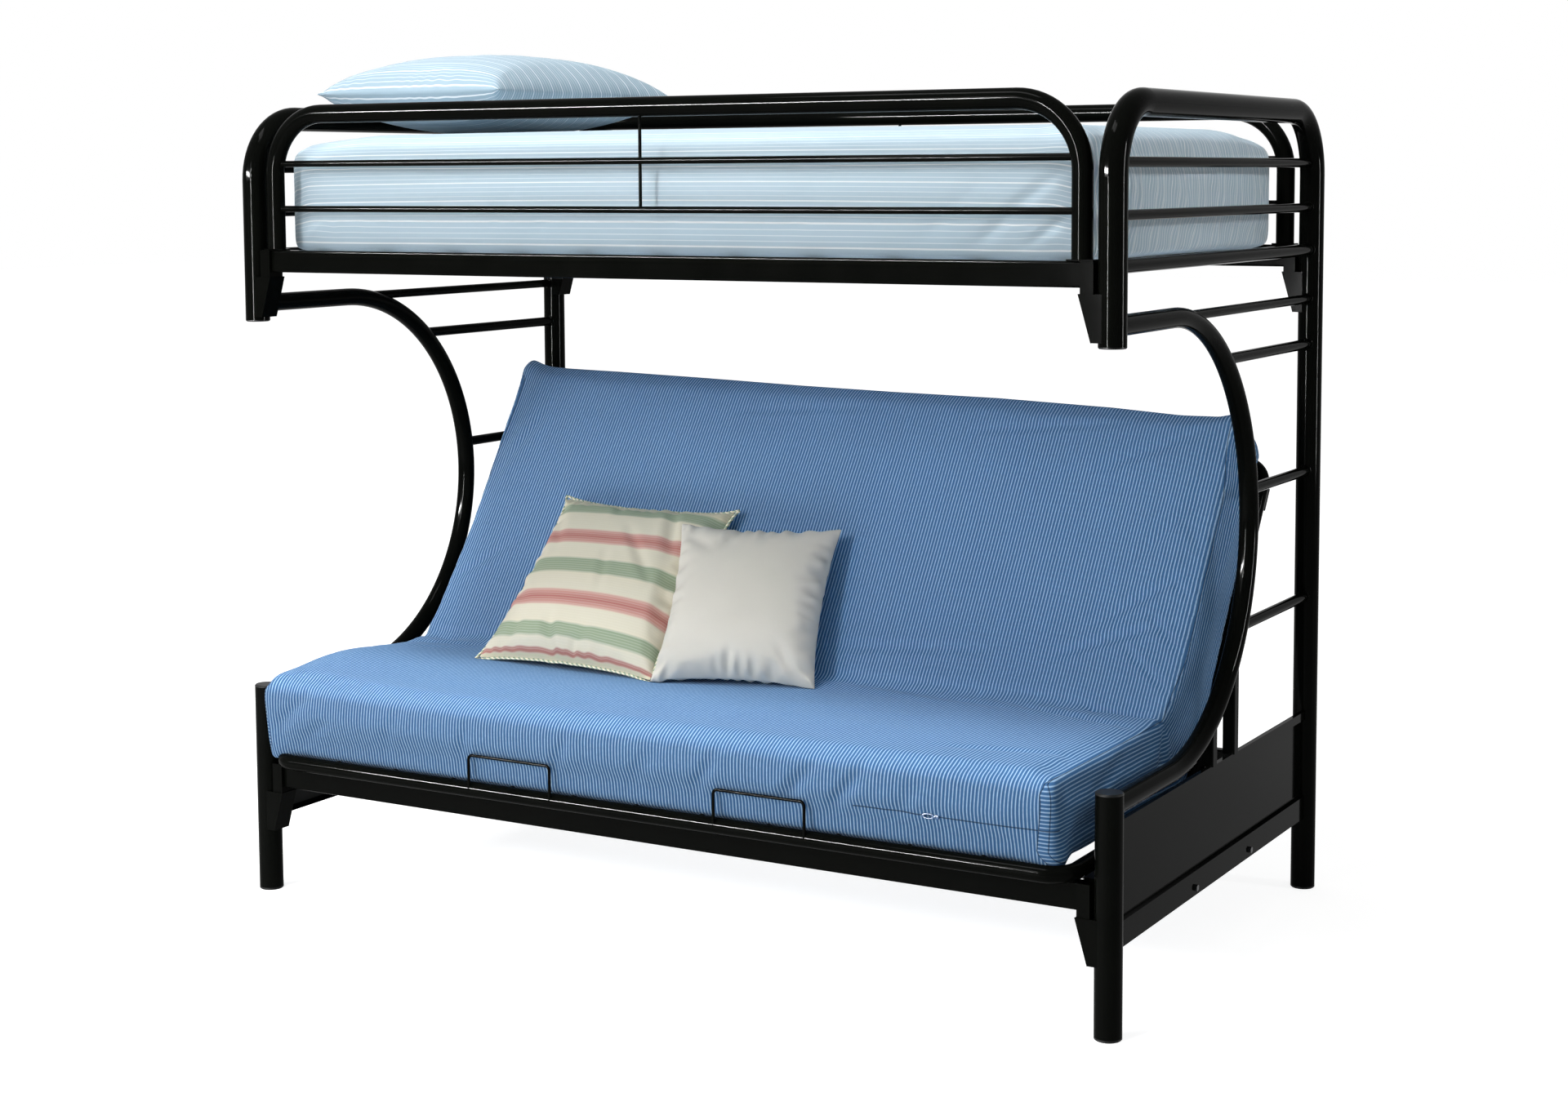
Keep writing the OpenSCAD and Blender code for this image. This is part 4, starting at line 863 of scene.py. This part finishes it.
# Creases lie on the front of a case, from one point of it to another in its own plane: a
# sharp valley of a width and depth, with a swell beside it.
def crease_case(case, creases):
    points = points_of(case)
    front = points[:, 2] > 0
    for start, end, width, depth in creases:
        start, end = np.array(start), np.array(end)
        along = end - start
        from_start = points[:, :2] - start
        share = np.clip(from_start @ along / (along @ along), 0, 1)
        aside = from_start - share[:, None] * along
        away = aside @ np.array([-along[1], along[0]]) / np.hypot(*along)
        past = np.linalg.norm(aside, axis=1) / width
        fade = np.sin(np.pi * np.clip(share, 0.03, 0.97)) ** 0.5
        valley = np.exp(-past ** 2) * (1 + 0.9 * np.clip(away / width, -1.5, 1.5))
        shoulder = 0.5 * np.exp(-(past / 2.2) ** 2)
        points[:, 2] -= depth * (valley - shoulder) * fade * front
    set_points(case, points)


def throw_cushion(name, node, width, height, shift, supports, creases, material):
    thickness = 0.135
    case = sewn_case(name, width, height, thickness, 52, 0.06, 2.5, 0.0100)
    pump(case, 4.0, 12, 30, 0.08, cap=0.009)
    fit_box(case, (width, height, thickness))
    crease_case(case, creases)
    lay_on_corners(case, *corners_of(node))
    set_points(case, points_of(case) + np.array(shift))
    rest_clear(case, supports, 0.0012)
    case.data.materials.append(material)
    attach(case, "futon_back")
    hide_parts(node)
    return case


striped_width, striped_height = 0.450, 0.460


def awning_stripe(name):
    material, tree, shader = new_material(name)
    across = add(tree, "Attribute", attribute_name="across").outputs["Fac"]
    share = add(tree, "Math", {0: across, 1: 1 / striped_height, 2: 0.5},
        operation="MULTIPLY_ADD").outputs[0]
    ecru, cream, pale_cream, dull_cream = "#d9d3b6", "#e4ddc6", "#e7e0ca", "#e1dbc6"
    sage, dark_sage, brick, rose, dark_rose = "#9dab8e", "#98a88b", "#bd7f74", "#d5a296", "#bf7870"
    bands = [(0.0, ecru), (0.012, ecru), (0.018, brick), (0.032, brick), (0.04, cream),
             (0.085, dull_cream), (0.10, sage), (0.16, dark_sage), (0.172, cream), (0.255, pale_cream),
             (0.268, rose), (0.305, dark_rose), (0.342, rose), (0.355, pale_cream), (0.45, cream),
             (0.465, sage), (0.535, dark_sage), (0.548, cream), (0.635, pale_cream), (0.648, rose),
             (0.685, dark_rose), (0.722, rose), (0.735, pale_cream), (0.845, cream), (0.86, sage),
             (0.915, dark_sage), (0.93, ecru)]
    ramp = add(tree, "ValToRGB", {"Fac": share})
    ramp.color_ramp.interpolation = "LINEAR"
    stops = ramp.color_ramp.elements
    while len(stops) > 1:
        stops.remove(stops[0])
    stops[0].position = bands[0][0]
    stops[0].color = linear(bands[0][1])
    for at, colour in bands[1:]:
        stops.new(at).color = linear(colour)
    thread = line_mask(tree, across, 0.0062, 0.0016, 0.0006)
    thread_faint = add(tree, "Math", {0: thread, 1: 0.22}, operation="MULTIPLY").outputs[0]
    cloth = add(tree, "Mix", {0: thread_faint, 6: ramp.outputs["Color"], 7: linear("#f1ecdb")},
        data_type="RGBA")
    weave_cloth(tree, shader, cloth.outputs[2], 0.0012, 0.04)
    return material


def plain_twill(name):
    material, tree, shader = new_material(name)
    place = add(tree, "TexCoord").outputs["Object"]
    cloud = add(tree, "TexNoise", {"Vector": place, "Scale": 1 / 0.12, "Detail": 3.0}).outputs["Fac"]
    tone = add(tree, "Mix", {0: cloud, 6: linear("#d5d0c4"), 7: linear("#dfdace")}, data_type="RGBA")
    weave_cloth(tree, shader, tone.outputs[2], 0.0012, 0.04)
    return material


striped_cushion = throw_cushion("striped_throw_cushion", "striped_cushion", striped_width,
    striped_height, (0, 0.004, -0.004), [futon], [
        ((-0.03, -0.215), (-0.05, -0.13), 0.016, 0.015),
        ((0.02, -0.21), (0.05, -0.15), 0.014, 0.009),
        ((-0.15, -0.20), (-0.13, -0.14), 0.014, 0.009),
        ((0.09, 0.21), (0.15, 0.06), 0.015, 0.012),
        ((0.02, 0.12), (0.14, -0.02), 0.013, 0.007),
        ((0.16, 0.03), (0.20, -0.14), 0.016, 0.009),
        ((-0.20, 0.16), (-0.14, 0.05), 0.016, 0.007),
        ((-0.21, -0.05), (-0.15, -0.10), 0.014, 0.007),
        ((-0.06, 0.21), (-0.03, 0.16), 0.013, 0.009),
        ((0.00, 0.05), (0.03, -0.06), 0.012, 0.005),
    ], awning_stripe("awning_stripe_cotton"))
plain_cushion = throw_cushion("plain_throw_cushion", "plain_cushion", 0.356,
    0.382, (-0.008, 0.004, -0.002), [futon, striped_cushion], [
        ((-0.04, 0.175), (-0.06, 0.12), 0.013, 0.011),
        ((0.03, 0.175), (0.02, 0.13), 0.012, 0.009),
        ((0.175, 0.06), (0.12, 0.05), 0.013, 0.009),
        ((0.175, -0.05), (0.13, -0.08), 0.013, 0.009),
        ((-0.01, -0.175), (0.00, -0.13), 0.013, 0.009),
        ((0.13, -0.16), (0.10, -0.11), 0.013, 0.009),
        ((-0.17, 0.02), (-0.12, 0.04), 0.014, 0.006),
        ((-0.16, 0.15), (-0.09, 0.10), 0.016, 0.006),
    ], plain_twill("plain_cotton_twill"))


# Cord in the striped cushion's seam: two strands of rayon, one green and one cream, laid up
# as a soft rope and caught in the stitching, with a small loop left at each corner.
def seam_line(case, width, height):
    points = points_of(case)
    across, along = (np.empty(len(points)) for _ in range(2))
    case.data.attributes["across"].data.foreach_get("value", across)
    case.data.attributes["along"].data.foreach_get("value", along)
    u, v = along * 2 / width, across * 2 / height
    rim = np.maximum(np.abs(u), np.abs(v)) > 0.999
    order = np.select([v < -0.999, u > 0.999, v > 0.999], [1 + u, 3 + v, 5 - u], 7 - v)
    found = []
    for step in np.unique(np.round(order[rim], 4)):
        there = rim & (np.abs(order - step) < 0.001)
        corner = (np.abs(u[there][0]) * np.abs(v[there][0])) ** 10
        found.append((*points[there].mean(0), corner))
    return np.array(found)


def strand(name, line, out, phase, material):
    turns, lay_radius, strand_radius = 150, 0.0016, 0.0018
    middle = line[:, :3].mean(0)
    path = line[:, :3] + (line[:, :3] - middle) * (0.010 + 0.022 * line[:, 3:])
    closed = np.vstack([path, path[:1]])
    run = np.concatenate([[0], np.cumsum(np.linalg.norm(np.diff(closed, axis=0), axis=1))])
    steps = np.linspace(0, run[-1], turns * 6, endpoint=False)
    centre = np.stack([np.interp(steps, run, closed[:, k]) for k in range(3)], 1)
    ahead = np.roll(centre, -1, 0) - np.roll(centre, 1, 0)
    ahead /= np.linalg.norm(ahead, axis=1, keepdims=True)
    sideways = np.cross(ahead, out)
    turn = (steps / run[-1] * turns * 2 * math.pi + phase)[:, None]
    laid = centre + lay_radius * (np.cos(turn) * out + np.sin(turn) * sideways)
    curve = bpy.data.curves.new(name, "CURVE")
    curve.dimensions = "3D"
    curve.bevel_depth = strand_radius
    curve.bevel_resolution = 1
    spline = curve.splines.new("POLY")
    spline.points.add(len(laid) - 1)
    spline.points.foreach_set("co", np.c_[laid, np.ones(len(laid))].ravel())
    spline.use_cyclic_u = True
    piece = bpy.data.objects.new(name, curve)
    bpy.context.collection.objects.link(piece)
    bpy.ops.object.select_all(action="DESELECT")
    piece.select_set(True)
    bpy.context.view_layer.objects.active = piece
    bpy.ops.object.convert(target="MESH")
    piece = bpy.context.object
    piece.data.materials.clear()
    piece.data.materials.append(material)
    return piece


def spun_yarn(name, dark, light):
    material, tree, shader = new_material(name)
    place = add(tree, "TexCoord").outputs["Object"]
    fibre = add(tree, "TexNoise", {"Vector": place, "Scale": 1 / 0.0015, "Detail": 2.0}).outputs["Fac"]
    tone = add(tree, "Mix", {0: fibre, 6: linear(dark), 7: linear(light)}, data_type="RGBA")
    bump = add(tree, "Bump", {"Height": fibre, "Strength": 0.6, "Distance": 0.0003})
    feed(tree, shader, {"Base Color": tone.outputs[2], "Normal": bump.outputs[0], "Roughness": 0.7,
        "Specular IOR Level": 0.2})
    return material


rim_line = seam_line(striped_cushion, striped_width, striped_height)
low_left, low_right, high_left, high_right = corners_of("striped_cushion")
cushion_out = np.cross(low_right - low_left, high_left - low_left)
cushion_out /= np.linalg.norm(cushion_out)
green_yarn = spun_yarn("green_rayon_yarn", "#7f9679", "#9db094")
cream_yarn = spun_yarn("cream_rayon_yarn", "#d8d0b0", "#ebe4c8")
cord_trim = join_pieces("striped_cushion_cord", [
    strand("cord_green", rim_line, cushion_out, 0, green_yarn),
    strand("cord_cream", rim_line, cushion_out, math.pi, cream_yarn)])
smooth_shade(cord_trim)
rest_clear(cord_trim, [futon], 0.0008)
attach(cord_trim, "futon_back")
for cushion in (striped_cushion, plain_cushion):
    subdivide(cushion, 1)
    smooth_shade(cushion)
